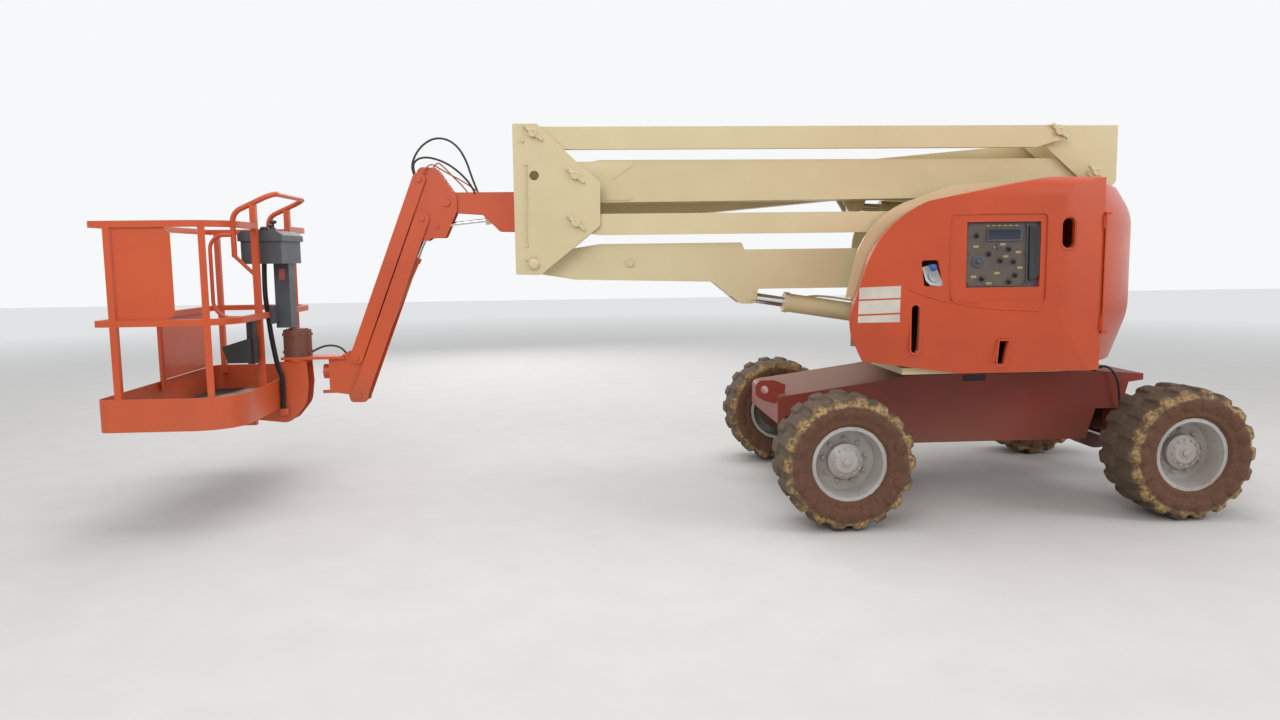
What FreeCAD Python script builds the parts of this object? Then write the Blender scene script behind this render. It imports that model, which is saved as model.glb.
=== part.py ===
"""Articulating boom lift, stowed on its four wheels, as an assembly of separate pieces.

Millimetres, +Z up. X runs along the machine: the platform at the -X end, the counterweight at the +X end.
The -Y side is the near side, where the ground controls are. The origin is on the floor, under the middle
of the box.
"""
import FreeCAD, Part

import math
import os

import Sketcher

os.makedirs("parts", exist_ok=True)
doc = FreeCAD.newDocument("boom_lift")
sheet = doc.addObject("Spreadsheet::Sheet", "sizes")

# Driving dimensions: name and value in millimetres or degrees
SIZES = (
    # Whole machine
    ("centre_x", 1988.0),
    ("wheelbase", 2080.0),
    ("overall_width", 2336.0),
    # Wheels
    ("tyre_radius", 404.0),
    ("tyre_width", 410.0),
    ("tread_half", 192.0),
    ("shoulder_drop", 26.0),
    ("lug_tall", 22.0),
    ("lug_long", 62.0),
    ("lug_proud", 9.0),
    ("bead_radius", 212.0),
    ("bead_half", 150.0),
    ("rim_lip", 16.0),
    ("rim_wall", 12.0),
    ("disc_front", 30.0),
    ("disc_thick", 14.0),
    ("hub_radius", 105.0),
    ("hub_nose", 70.0),
    # Axles and steering
    ("axle_radius", 78.0),
    ("axle_half", 540.0),
    ("diff_radius", 165.0),
    ("flange_radius", 140.0),
    ("flange_thick", 30.0),
    ("kingpin_y", 640.0),
    ("kingpin_radius", 32.0),
    ("kingpin_half", 150.0),
    ("yoke_thick", 34.0),
    ("yoke_half", 40.0),
    ("yoke_gap", 4.0),
    ("knuckle_half", 92.0),
    ("steer_arm", 150.0),
    ("steer_rod_radius", 18.0),
    ("steer_barrel_radius", 38.0),
    ("steer_barrel_half", 210.0),
    # Chassis
    ("chassis_half", 450.0),
    ("chassis_low", 380.0),
    ("chassis_top", 830.0),
    ("chassis_left", 1320.0),
    ("chassis_right", 1137.0),
    ("arch_top", 520.0),
    ("end_low", 530.0),
    ("lug_hole_radius", 26.0),
    ("lug_radius", 62.0),
    ("lug_thick", 30.0),
    ("lug_half", 330.0),
    # Slewing ring and turntable
    ("ring_radius", 400.0),
    ("deck_low", 906.0),
    ("deck_thick", 40.0),
    ("deck_tail", 840.0),
    ("side_y", 378.0),
    ("side_thick", 15.0),
    ("inner_y", 4.0),
    ("inner_thick", 12.0),
    ("tail_radius", 1179.0),
    ("tail_centre", 101.0),
    ("deck_inset", 85.0),
    ("tail_front", 512.0),
    ("tail_top", 2030.0),
    ("tail_mid_top", 1560.0),
    ("tail_slot", 400.0),
    # Hoods
    ("near_front_in", -870.0),
    ("near_front_out", -1062.0),
    ("far_front_in", -620.0),
    ("far_front_out", -420.0),
    ("hood_rear", 500.0),
    ("hood_low", 922.0),
    ("hood_top", 2056.0),
    ("hood_outer", 1075.0),
    ("hood_inner", 402.0),
    ("hood_wall", 30.0),
    ("hood_round", 120.0),
    ("hood_bend", 250.0),
    ("hinge_pin", 5.0),
    ("hinge_low", 1150.0),
    ("hinge_high", 1750.0),
    ("hinge_tall", 80.0),
    ("seat", 0.3),
    # Tower pins, measured from the slewing axis and the floor
    ("pin_radius", 26.0),
    ("arm_length", 3374.0),
    ("lower_pin_x", -2874.0),
    ("lower_pin_z", 1583.0),
    ("link_step_x", 271.0),
    ("link_step_z", 258.0),
    ("mid_pin_x", -2603.0),
    ("mid_pin_z", 2138.0),
    ("top_step_x", -260.0),
    ("top_step_z", 264.0),
    ("mid_length", 3420.0),
    # Tower booms and links
    ("tower_near", 245.0),
    ("tower_far", 45.0),
    ("link_near", 335.0),
    ("link_far", 285.0),
    # Front upright
    ("upright_near", 354.0),
    ("upright_far", 20.0),
    ("upright_thick", 16.0),
    # Rear upright
    ("rear_near", 270.0),
    ("rear_mid", 20.0),
    ("rear_far", 262.0),
    ("rear_lug", 30.0),
    ("rear_thick", 15.0),
    # Main boom and fly
    ("boom_y", 130.0),
    ("main_pin_x", 800.0),
    ("main_pin_z", 2290.0),
    ("main_slope", 5.0),
    ("main_length", 3700.0),
    ("main_deep", 250.0),
    ("main_wide", 200.0),
    ("main_drop", 30.0),
    ("boom_wall", 8.0),
    ("fly_deep", 190.0),
    ("fly_wide", 150.0),
    ("fly_root", 1900.0),
    ("fly_reach", 90.0),
    ("pad_long", 80.0),
    # Head and jib
    ("head_pin_x", -3470.0),
    ("head_pin_z", 2000.0),
    ("head_half", 62.0),
    ("head_thick", 12.0),
    ("jib_pin_x", -3635.0),
    ("jib_pin_z", 1895.0),
    ("jib_step_x", -10.0),
    ("jib_step_z", 260.0),
    ("jib_slope", 68.8),
    ("jib_length", 1280.0),
    ("jib_arm_deep", 88.0),
    ("jib_link_deep", 100.0),
    ("jib_web", 270.0),
    ("jib_half", 80.0),
    # Platform support and rotator
    ("rotor_x", -4515.0),
    ("rotor_radius", 92.0),
    ("rotor_top", 1155.0),
    ("shelf_z", 957.0),
    ("shelf_thick", 18.0),
    # Platform
    ("basket_left", 5420.0),
    ("basket_right", 4622.0),
    ("basket_width", 1830.0),
    ("basket_corner", 250.0),
    ("deck_z", 640.0),
    ("toe_tall", 195.0),
    ("toe_thick", 6.0),
    ("rail_z", 1845.0),
    ("mid_rail_z", 1270.0),
    ("rail_radius", 19.0),
    ("post_half", 19.0),
    ("guard_half", 350.0),
    ("guard_x", -4778.0),
    ("guard_out", -4518.0),
    ("guard_z", 2050.0),
    ("guard_low", 1650.0),
    ("loop_x", -4928.0),
    ("loop_low", 1263.0),
    ("loop_high", 1790.0),
    ("gate_radius", 14.0),
    ("gate_wide", 505.0),
    ("gate_near", -610.0),
    ("gate_gap", 40.0),
    # Cylinders: foot and eye places, measured from the slewing axis and the floor
    ("foot_x", 250.0),
    ("foot_z", 1070.0),
    ("head_eye_x", -1461.0),
    ("head_eye_z", 1345.0),
    ("main_foot_x", 700.0),
    ("main_foot_z", 1880.0),
    ("eye_along", -1500.0),
    ("eye_up", -210.0),
    ("level_foot_x", -2750.0),
    ("level_foot_z", 1930.0),
    ("level_eye_x", -3536.0),
    ("level_eye_z", 1848.0),
    ("jib_foot", 950.0),
    ("jib_eye_x", -3624.0),
    ("jib_eye_z", 1775.0),
    ("jib_foot_up", 5.0),
    ("nose_half", 50.0),
    ("nose_wall", 10.0),
    ("tail_outer", 1015.0),
)
for row, (alias, value) in enumerate(SIZES, start=1):
    sheet.set(f"A{row}", str(value))
    sheet.setAlias(f"A{row}", alias)
doc.recompute()


class Size:
    """A number with the spreadsheet expression that gives it."""

    def __init__(self, value, text):
        self.value = value
        self.text = text

    @staticmethod
    def of(other):
        return other if isinstance(other, Size) else Size(float(other), f"({float(other)})")

    def __add__(self, other):
        other = Size.of(other)
        return Size(self.value + other.value, f"({self.text} + {other.text})")

    def __sub__(self, other):
        other = Size.of(other)
        return Size(self.value - other.value, f"({self.text} - {other.text})")

    def __mul__(self, other):
        other = Size.of(other)
        return Size(self.value * other.value, f"({self.text} * {other.text})")

    def __truediv__(self, other):
        other = Size.of(other)
        return Size(self.value / other.value, f"({self.text} / {other.text})")

    def __neg__(self):
        return Size(-self.value, f"(0 - {self.text})")

    def __radd__(self, other):
        return Size.of(other) + self

    def __rsub__(self, other):
        return Size.of(other) - self

    def __rmul__(self, other):
        return Size.of(other) * self


class Table:
    """Every driving dimension by its name."""

    def __getattr__(self, name):
        return Size(dict(SIZES)[name], f"sizes.{name}")


s = Table()
count = {"n": 0}
nodes = []


def fresh(kind):
    """A new object name."""
    count["n"] += 1
    return f"{kind}{count['n']}"


def bind(thing, prop, size):
    thing.setExpression(prop, Size.of(size).text)


def origin_plane(body, role):
    return [f for f in body.Origin.OriginFeatures if f.Role == role][0]


def outline(body, role, corners):
    """A closed sketch of straight sides through the corners, each (across, up) or (across, up, radius)."""
    sketch = body.newObject("Sketcher::SketchObject", fresh("outline"))
    sketch.AttachmentSupport = [(origin_plane(body, role), "")]
    sketch.MapMode = "FlatFace"
    rows = [tuple(Size.of(v) for v in c) for c in corners]
    points = [FreeCAD.Vector(c[0].value, c[1].value, 0) for c in rows]
    ends = []
    for i, here in enumerate(points):
        if len(rows[i]) == 2:
            ends.append((here, here, None))
            continue
        back = (points[i - 1] - here).normalize()
        ahead = (points[(i + 1) % len(points)] - here).normalize()
        half = back.getAngle(ahead) / 2
        reach = rows[i][2].value / math.tan(half)
        middle = here + (back + ahead).normalize() * (rows[i][2].value / math.sin(half))
        ends.append((here + back * reach, here + ahead * reach, middle))
    sides = []
    for i in range(len(points)):
        side = Part.LineSegment(ends[i][1], ends[(i + 1) % len(points)][0])
        sides.append(sketch.addGeometry(side, False))
    for i, here in enumerate(points):
        before, after = sides[i - 1], sides[i]
        if ends[i][2] is None:
            sketch.addConstraint(Sketcher.Constraint("Coincident", before, 2, after, 1))
            corner = after
        else:
            corner = rounded(sketch, ends[i], here, before, after, rows[i][2])
        place_point(sketch, corner, rows[i])
    return sketch


def rounded(sketch, end, here, before, after, radius):
    """An arc tangent to both sides of a corner; returns the corner's own construction point."""
    first, last, middle = end
    start = math.atan2(first.y - middle.y, first.x - middle.x)
    stop = math.atan2(last.y - middle.y, last.x - middle.x)
    circle = Part.Circle(middle, FreeCAD.Vector(0, 0, 1), radius.value)
    left_turn = (first - middle).cross(last - middle).z > 0
    if left_turn:
        arc = sketch.addGeometry(Part.ArcOfCircle(circle, start, stop), False)
        enter, leave = 1, 2
    else:
        arc = sketch.addGeometry(Part.ArcOfCircle(circle, stop, start), False)
        enter, leave = 2, 1
    sketch.addConstraint(Sketcher.Constraint("Tangent", before, 2, arc, enter))
    sketch.addConstraint(Sketcher.Constraint("Tangent", arc, leave, after, 1))
    k = sketch.addConstraint(Sketcher.Constraint("Radius", arc, radius.value))
    bind(sketch, f"Constraints[{k}]", radius)
    point = sketch.addGeometry(Part.Point(here), True)
    sketch.addConstraint(Sketcher.Constraint("PointOnObject", point, 1, before))
    sketch.addConstraint(Sketcher.Constraint("PointOnObject", point, 1, after))
    return point


def place_point(sketch, geometry, row):
    for kind, size in (("DistanceX", row[0]), ("DistanceY", row[1])):
        k = sketch.addConstraint(Sketcher.Constraint(kind, -1, 1, geometry, 1, size.value))
        bind(sketch, f"Constraints[{k}]", size)


def plate(corners, middle, thick):
    """An upright plate: its outline in X and Z, its thickness along Y about the middle."""
    body = doc.addObject("PartDesign::Body", fresh("plate"))
    sketch = outline(body, "XZ_Plane", corners)
    pad = body.newObject("PartDesign::Pad", fresh("pad"))
    pad.Profile = sketch
    pad.SideType = "Symmetric"
    bind(pad, "Length", thick)
    bind(body, "Placement.Base.y", middle)
    return body


def slab(corners, low, tall):
    """A level slab: its outline in X and Y, its height upwards from low."""
    body = doc.addObject("PartDesign::Body", fresh("slab"))
    sketch = outline(body, "XY_Plane", corners)
    pad = body.newObject("PartDesign::Pad", fresh("pad"))
    pad.Profile = sketch
    bind(pad, "Length", tall)
    bind(body, "Placement.Base.z", low)
    return body


def turned(corners):
    """A piece turned about the Y axis: its outline along Y and by radius."""
    body = doc.addObject("PartDesign::Body", fresh("turned"))
    sketch = outline(body, "YZ_Plane", corners)
    spin = body.newObject("PartDesign::Revolution", fresh("spin"))
    spin.Profile = sketch
    spin.ReferenceAxis = (sketch, ["H_Axis"])
    spin.Angle = 360.0
    return body


def spun(corners):
    """A piece turned about the Z axis: its outline by radius and height."""
    body = doc.addObject("PartDesign::Body", fresh("spun"))
    sketch = outline(body, "XZ_Plane", corners)
    spin = body.newObject("PartDesign::Revolution", fresh("spin"))
    spin.Profile = sketch
    spin.ReferenceAxis = (sketch, ["V_Axis"])
    spin.Angle = 360.0
    return body


def block(x, y, z):
    """A box from three pairs of limits."""
    box = doc.addObject("Part::Box", fresh("block"))
    for prop, base, pair in (("Length", "x", x), ("Width", "y", y), ("Height", "z", z)):
        low, high = Size.of(pair[0]), Size.of(pair[1])
        bind(box, prop, high - low)
        bind(box, f"Placement.Base.{base}", low)
    return box


def rod(start, along, length, radius):
    """A cylinder from its start point, along x, y or z."""
    turn = {"x": ((0, 1, 0), 90), "y": ((1, 0, 0), -90), "z": ((0, 0, 1), 0)}[along]
    cylinder = doc.addObject("Part::Cylinder", fresh("rod"))
    cylinder.Placement.Rotation = FreeCAD.Rotation(FreeCAD.Vector(*turn[0]), turn[1])
    bind(cylinder, "Radius", radius)
    bind(cylinder, "Height", length)
    move(cylinder, start)
    return cylinder


def move(thing, base):
    for name, size in zip("xyz", base):
        bind(thing, f"Placement.Base.{name}", size)


def turn(thing, axis, angle):
    """Turns a finished piece about its own origin, by a Size or number of degrees."""
    angle = Size.of(angle)
    thing.Placement.Rotation = FreeCAD.Rotation(FreeCAD.Vector(*axis), angle.value)
    bind(thing, "Placement.Rotation.Angle", angle)


def join(*pieces):
    fuse = doc.addObject("Part::MultiFuse", fresh("join"))
    fuse.Shapes = list(pieces)
    fuse.Refine = True
    return fuse


def group(*pieces):
    """Solids of one body that stay separate."""
    compound = doc.addObject("Part::Compound", fresh("group"))
    compound.Links = list(pieces)
    return compound


def trim(base, *tools):
    cut = doc.addObject("Part::Cut", fresh("trim"))
    cut.Base = base
    cut.Tool = tools[0] if len(tools) == 1 else join(*tools)
    cut.Refine = True
    return cut


def node(thing, label):
    thing.Label = label
    nodes.append(thing)
    return thing


# Wheels: tyre and rim, turned about Y at the origin with the outer face towards -Y, then placed
def wheel_place(body, x, side):
    """Sets a wheel on the floor; side is -1 on the near side and 1 on the far side."""
    if side > 0:
        body.Placement.Rotation = FreeCAD.Rotation(FreeCAD.Vector(0, 0, 1), 180)
    move(body, (x, side * wheel_y(), s.tyre_radius))


def wheel_y():
    return (s.overall_width - s.tyre_width) / 2


LUG_COUNT = 18
FLATS = 36


def tyre(label, x, side):
    """A flat-sided carcass, light enough to repeat, with a ring of lugs over each shoulder."""
    half, crown = s.tyre_width / 2 - s.lug_proud, s.tyre_radius - s.lug_tall
    near_side = (
        (s.bead_half, s.bead_radius + 20),
        (half, s.bead_radius + 70),
        (s.tread_half - 6, crown - s.shoulder_drop),
        (s.tread_half / 2, crown),
    )
    rows = [(-y, radius) for y, radius in near_side] + list(reversed(near_side))
    carcass = doc.addObject("Part::Loft", fresh("carcass"))
    carcass.Sections = [polygon(y, radius) for y, radius in rows]
    carcass.Solid = True
    carcass.Ruled = True
    bore = rod((0, -s.bead_half - 5, 0), "y", s.bead_half * 2 + 10, s.bead_radius)
    body = join(trim(carcass, bore), lug_ring(-1, 0), lug_ring(1, 180 / LUG_COUNT))
    wheel_place(body, x, side)
    return node(body, label)


def polygon(y, radius):
    """A flat-sided ring about the Y axis, its corners on the radius."""
    ring = doc.addObject("Part::RegularPolygon", fresh("ring"))
    ring.Polygon = FLATS
    ring.Placement.Rotation = FreeCAD.Rotation(FreeCAD.Vector(1, 0, 0), -90)
    bind(ring, "Circumradius", radius)
    move(ring, (0, y, 0))
    return ring


def lug_ring(hand, first):
    """Lugs from the middle of the tread over one shoulder, the first of them turned by some degrees."""
    half, tip = s.tyre_width / 2, s.tyre_radius
    body = doc.addObject("PartDesign::Body", fresh("lugs"))
    sketch = outline(body, "YZ_Plane", tuple((y * hand, z) for y, z in (
        (Size.of(16), tip - s.lug_tall * 2),
        (Size.of(16), tip),
        (s.tread_half - 22, tip - 4),
        (half, tip - 66),
        (half, tip - 128),
        (half - 34, tip - 128),
    )))
    sketch.AttachmentOffset = FreeCAD.Placement(
        FreeCAD.Vector(0, 0, 0), FreeCAD.Rotation(FreeCAD.Vector(1, 0, 0), first))
    pad = body.newObject("PartDesign::Pad", fresh("lug"))
    pad.Profile = sketch
    pad.SideType = "Symmetric"
    bind(pad, "Length", s.lug_long)
    ring = body.newObject("PartDesign::PolarPattern", fresh("lugs"))
    ring.Originals = [pad]
    ring.Axis = (origin_plane(body, "Y_Axis"), [""])
    ring.Angle = 360.0
    ring.Occurrences = LUG_COUNT
    body.Tip = ring
    return body


def rim(label, x, side):
    """Drop-centre rim with its disc set deep and the planetary hub standing out of it."""
    fit = 0.3
    lip_out = s.bead_half + 10
    lip_in = s.bead_half + fit
    lip = s.bead_radius + s.rim_lip
    seat = s.bead_radius - fit
    inside = s.bead_radius - s.rim_wall
    back = -s.disc_front + s.disc_thick
    nose = -s.disc_front - s.hub_nose
    body = turned((
        (-lip_out, lip),
        (-lip_in, lip),
        (-lip_in, seat),
        (lip_in, seat),
        (lip_in, lip),
        (lip_out, lip),
        (lip_out, inside),
        (back, inside),
        (back, 0),
        (nose, 0),
        (nose, s.hub_radius * 0.6),
        (nose + 25, s.hub_radius),
        (-s.disc_front, s.hub_radius),
        (-s.disc_front, inside - 20),
        (-lip_out, inside),
    ))
    wheel_place(body, x, side)
    return node(body, label)


def drive_x():
    return s.centre_x - s.wheelbase / 2


def steer_x():
    return s.centre_x + s.wheelbase / 2


def hub_face():
    """Distance from the middle plane to the face that carries the wheel disc."""
    return wheel_y() + s.disc_front - s.disc_thick - 0.5


def both_ways(half):
    """A turned outline from its half, given from the end to the middle by (distance, radius)."""
    left = [(-Size.of(c[0]),) + tuple(c[1:]) for c in half]
    right = [tuple(c) for c in reversed(half)]
    return left + right


def drive_axle():
    face = hub_face()
    body = turned(both_ways([
        (face, 0),
        (face, s.flange_radius - 20),
        (face - 110, s.flange_radius - 20),
        (face - 110, s.flange_radius),
        (face - 110 - s.flange_thick, s.flange_radius),
        (face - 110 - s.flange_thick, s.axle_radius),
        (s.diff_radius + 60, s.axle_radius),
        (s.diff_radius * 0.6, s.diff_radius),
    ]))
    move(body, (drive_x(), 0, s.tyre_radius))
    return node(body, "drive_axle")


def steer_axle():
    x, z = steer_x(), s.tyre_radius
    beam = turned(both_ways([
        (s.axle_half, 0),
        (s.axle_half, s.axle_radius),
        (s.diff_radius + 60, s.axle_radius),
        (s.diff_radius * 0.6, s.diff_radius),
    ]))
    move(beam, (x, 0, z))
    pieces = [beam]
    low = s.knuckle_half + s.yoke_gap
    for side in (-1, 1):
        inner, outer = s.axle_half - 30, s.kingpin_y + 48
        wide = (x - s.yoke_half, x + s.yoke_half)
        y = (inner * side, outer * side) if side > 0 else (outer * side, inner * side)
        pieces.append(block(wide, y, (z + low, z + low + s.yoke_thick)))
        pieces.append(block(wide, y, (z - low - s.yoke_thick, z - low)))
        root = s.kingpin_y - 85
        y = (inner * side, root * side) if side > 0 else (root * side, inner * side)
        pieces.append(block(wide, y, (z - low - s.yoke_thick, z + low + s.yoke_thick)))
        low_end = (x, s.kingpin_y * side, z - s.kingpin_half)
        pieces.append(rod(low_end, "z", s.kingpin_half * 2, s.kingpin_radius))
    start = (x - s.steer_arm, -s.steer_barrel_half, z)
    barrel = rod(start, "y", s.steer_barrel_half * 2, s.steer_barrel_radius)
    bracket = block((x - s.steer_arm, x), (-60, 60), (z - 20, z + 20))
    bore = rod((x - s.steer_arm, -s.steer_barrel_half - 1, z), "y", s.steer_barrel_half * 2 + 2,
               s.steer_rod_radius + 0.1)
    return node(trim(join(*pieces, barrel, bracket), bore), "steer_axle")


def knuckle(label, side):
    """Steering knuckle with its drum and its arm; side is -1 near, 1 far."""
    x, z, y = steer_x(), s.tyre_radius, s.kingpin_y * side
    drum_start = (s.kingpin_y + 85) * side
    face = hub_face() * side
    length = (hub_face() - s.kingpin_y - 85)
    boss = rod((x, y, z - s.knuckle_half), "z", s.knuckle_half * 2, 58)
    near_end = face if side < 0 else drum_start
    drum = rod((x, near_end, z), "y", length, s.flange_radius - 20)
    spread = (y, drum_start) if side > 0 else (drum_start, y)
    neck = block((x - 50, x + 50), spread, (z - 80, z + 80))
    arm_low = z - s.steer_rod_radius - 8 - 22
    arm_y = (y - 30, y + 30)
    arm = block((x - s.steer_arm - 30, x), arm_y, (arm_low, arm_low + 20))
    bore = rod((x, y, z - s.knuckle_half - 1), "z", s.knuckle_half * 2 + 2, s.kingpin_radius + 0.1)
    return node(trim(join(boss, drum, neck, arm), bore), label)


def steer_rod():
    """Through-rod of the steering cylinder, with a ball end over each steering arm."""
    x, z = steer_x() - s.steer_arm, s.tyre_radius
    through = rod((x, -s.kingpin_y, z), "y", s.kingpin_y * 2, s.steer_rod_radius)
    ends = [rod((x, s.kingpin_y * side, z - s.steer_rod_radius - 7.5), "z", s.steer_rod_radius * 2 + 15, 28)
            for side in (-1, 1)]
    return node(join(through, *ends), "steer_rod")


def chassis_frame():
    """Box frame, arched over both axles, with a holed lug plate at each side of its front end."""
    x = s.centre_x
    arch = s.diff_radius + 60
    body = plate((
        (x - s.chassis_left, s.end_low),
        (x - s.chassis_left, s.chassis_top - 125, 45),
        (x - s.ring_radius - 140, s.chassis_top - 18),
        (x - s.ring_radius - 40, s.chassis_top),
        (x + s.chassis_right - 300, s.chassis_top),
        (x + s.chassis_right, s.chassis_top - 20),
        (x + s.chassis_right, s.chassis_top - 62),
        (x + s.chassis_right - 100, s.chassis_top - 75),
        (x + s.chassis_right - 120, s.chassis_top - 150),
        (steer_x() + arch, s.arch_top + 60),
        (steer_x() + arch - 80, s.arch_top + 62),
        (steer_x() - arch, s.arch_top + 62),
        (steer_x() - arch - 60, s.chassis_low),
        (drive_x() + arch + 60, s.chassis_low),
        (drive_x() + arch, s.arch_top + 62),
        (drive_x() - arch, s.arch_top + 62),
        (drive_x() - arch - 40, s.end_low),
    ), 0, s.chassis_half * 2)
    pads = []
    for ax in (drive_x(), steer_x()):
        for y in (-330, 330):
            pad = block((ax - 70, ax + 70), (y - 60, y + 60), (s.tyre_radius + 30, s.arch_top + 63))
            saddle = rod((ax, y - 61, s.tyre_radius), "y", 122, s.axle_radius + s.seat)
            pads.append(trim(pad, saddle))
    reach = x - s.chassis_left - 65
    lug = plate((
        (reach + 120, s.chassis_top - 200),
        (reach, s.chassis_top - 165, 40),
        (reach - s.lug_radius, s.chassis_top - 130, 50),
        (reach - s.lug_radius, s.chassis_top - 28, 50),
        (reach + s.lug_radius, s.chassis_top - 28, 30),
        (reach + 140, s.chassis_top - 60),
    ), -s.lug_half, s.lug_thick)
    start = (reach, -s.lug_half - s.lug_thick, s.chassis_top - 89)
    hole = rod(start, "y", s.lug_thick * 2, s.lug_hole_radius)
    return node(join(body, *pads, trim(lug, hole)), "chassis_frame")


def slew_bearing():
    ring = rod((s.centre_x, 0, s.chassis_top), "z", s.deck_low - s.chassis_top - s.seat, s.ring_radius)
    return node(ring, "slew_bearing")


def turntable_base():
    """Deck plate, the two long side plates and the inner plate that carry the tower."""
    x = s.centre_x
    inset = s.deck_inset
    half, tail_y = s.hood_outer - inset, s.tail_outer - inset
    deck = slab((
        (x - 690, -half),
        (x + s.hood_bend, -half, 300),
        (x + s.hood_rear - 20, -tail_y),
        (x + s.deck_tail, -s.side_y),
        (x + s.deck_tail, s.side_y),
        (x + s.hood_rear - 20, tail_y),
        (x + s.hood_bend, half, 300),
        (x + s.far_front_out + 245, half),
        (x + s.far_front_in + 245, s.hood_inner),
        (x - 690, -s.hood_inner),
    ), s.deck_low, s.deck_thick)
    top = s.deck_low + s.deck_thick - 1
    fronts = {
        -1: ((x - 700, top), (x - 700, 1338), (x - 862, 1338), (x - 740, 1860, 550)),
        1: ((x - 600, top), (x - 600, 1950, 350)),
    }
    sides = []
    for side, front in fronts.items():
        sides.append(plate((
            *front,
            (x - 165, s.hood_top, 300),
            (x + 120, s.hood_top + 20),
            (x + s.hood_rear, s.hood_top + 10),
            (x + s.deck_tail + 30, s.hood_top - 120, 80),
            (x + s.deck_tail + 40, top),
        ), s.side_y * side, s.side_thick))
    root_x = x + s.lower_pin_x + s.arm_length
    link_x = root_x + s.link_step_x
    link_z = s.lower_pin_z + s.link_step_z
    inner = plate((
        (root_x - 200, top),
        (root_x - 130, s.lower_pin_z + 60, 60),
        (link_x - 90, link_z + 90, 70),
        (link_x + 90, link_z + 90, 70),
        (link_x + 118, top),
    ), s.inner_y, s.inner_thick)
    reach = s.side_y + s.inner_y
    pins = [rod((px, -s.side_y, pz), "y", reach, s.pin_radius)
            for px, pz in ((root_x, s.lower_pin_z), (link_x, link_z))]
    foot_x, foot_z = lift_foot()
    foot_pin = rod((foot_x, -s.side_y, foot_z), "y", reach, s.pin_radius)
    foot_plate = plate((
        (foot_x - 110, top),
        (foot_x - 60, foot_z + 60, 50),
        (foot_x + 60, foot_z + 60, 50),
        (foot_x + 140, top),
    ), s.inner_y, s.inner_thick)
    return node(join(deck, *sides, inner, *pins, foot_pin, foot_plate), "turntable_base")


def lift_foot():
    """Where the tower's lift cylinder stands on the turntable."""
    return s.centre_x + s.foot_x, s.foot_z


def counterweight():
    """Round tail of cast weight, low in the middle for the rear upright."""
    x = s.centre_x
    low = s.deck_low + s.deck_thick + s.seat
    wide = (-s.tail_radius, s.tail_radius)
    behind = block((x + s.tail_front, x + s.tail_radius), wide, (low, s.tail_top))
    drum = spun((
        (0, low - 10),
        (s.tail_radius - 100, low - 10),
        (s.tail_radius, 1240, 400),
        (s.tail_radius, 1850, 300),
        (s.tail_radius - 100, s.tail_top, 50),
        (0, s.tail_top),
    ))
    move(drum, (x - s.tail_centre, 0, 0))
    common = doc.addObject("Part::MultiCommon", fresh("common"))
    common.Shapes = [behind, drum]
    slot = block((x + s.tail_front - 1, x + s.deck_tail + 60), (-s.tail_slot, s.tail_slot),
                 (low - 1, s.tail_top + 1))
    notch = block((x + s.tail_front, x + s.tail_radius + 1), (-s.tail_slot, s.tail_slot),
                  (s.tail_mid_top, s.tail_top + 1))
    weight = trim(common, slot, notch)
    brackets = []
    for side in (-1, 1):
        hx, hy = hood_hinge(side)
        low_end, high_end = s.hinge_low - 18, s.hinge_high + s.hinge_tall + 18
        brackets.append(rod((hx, hy, low_end), "z", high_end - low_end, s.hinge_pin))
        for z in (low_end, high_end - 16):
            brackets.append(block((hx - 3, hx + 34), inwards(hy, 130, side), (z, z + 16)))
    return node(join(weight, *brackets), "counterweight")


def hood_hinge(side):
    """Plan place of a hood's hinge axis, just outside the seam with the counterweight."""
    return s.centre_x + s.hood_rear + 6, (s.tail_outer + 10) * side


def inwards(y, reach, side):
    """Limits from y towards the machine's middle."""
    return (y - reach, y) if side > 0 else (y, y + reach)


def hood_knuckles(side):
    """Two hinge knuckles at a hood's rear edge, on the axis that it swings about."""
    hx, hy = hood_hinge(side)
    pieces = []
    for z in (s.hinge_low, s.hinge_high):
        knuckle = rod((hx, hy, z), "z", s.hinge_tall, s.hinge_pin + 4.5)
        web = block((hx - 16, hx), inwards(hy, 22, side), (z, z + s.hinge_tall))
        bore = rod((hx, hy, z - 1), "z", s.hinge_tall + 2, s.hinge_pin + s.seat)
        pieces.append(trim(join(knuckle, web), bore))
    return pieces


def hood_slant(side):
    """Degrees by which a hood's front slants, about as the sight line of someone beside the platform."""
    near, far = s.near_front_in - s.near_front_out, s.far_front_out - s.far_front_in
    back = near if side < 0 else far
    return math.degrees(math.atan2(back.value, (s.hood_outer - s.hood_inner).value))


def hood_corner(side, inset):
    """Where a hood's slanting front meets its outer face, drawn in by inset, from the slewing axis."""
    near, far = (s.near_front_in, s.near_front_out), (s.far_front_in, s.far_front_out)
    front_in, front_out = near if side < 0 else far
    slope = (front_out.value - front_in.value) / (s.hood_outer.value - s.hood_inner.value)
    return front_out + inset * (1.04 - slope)


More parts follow.
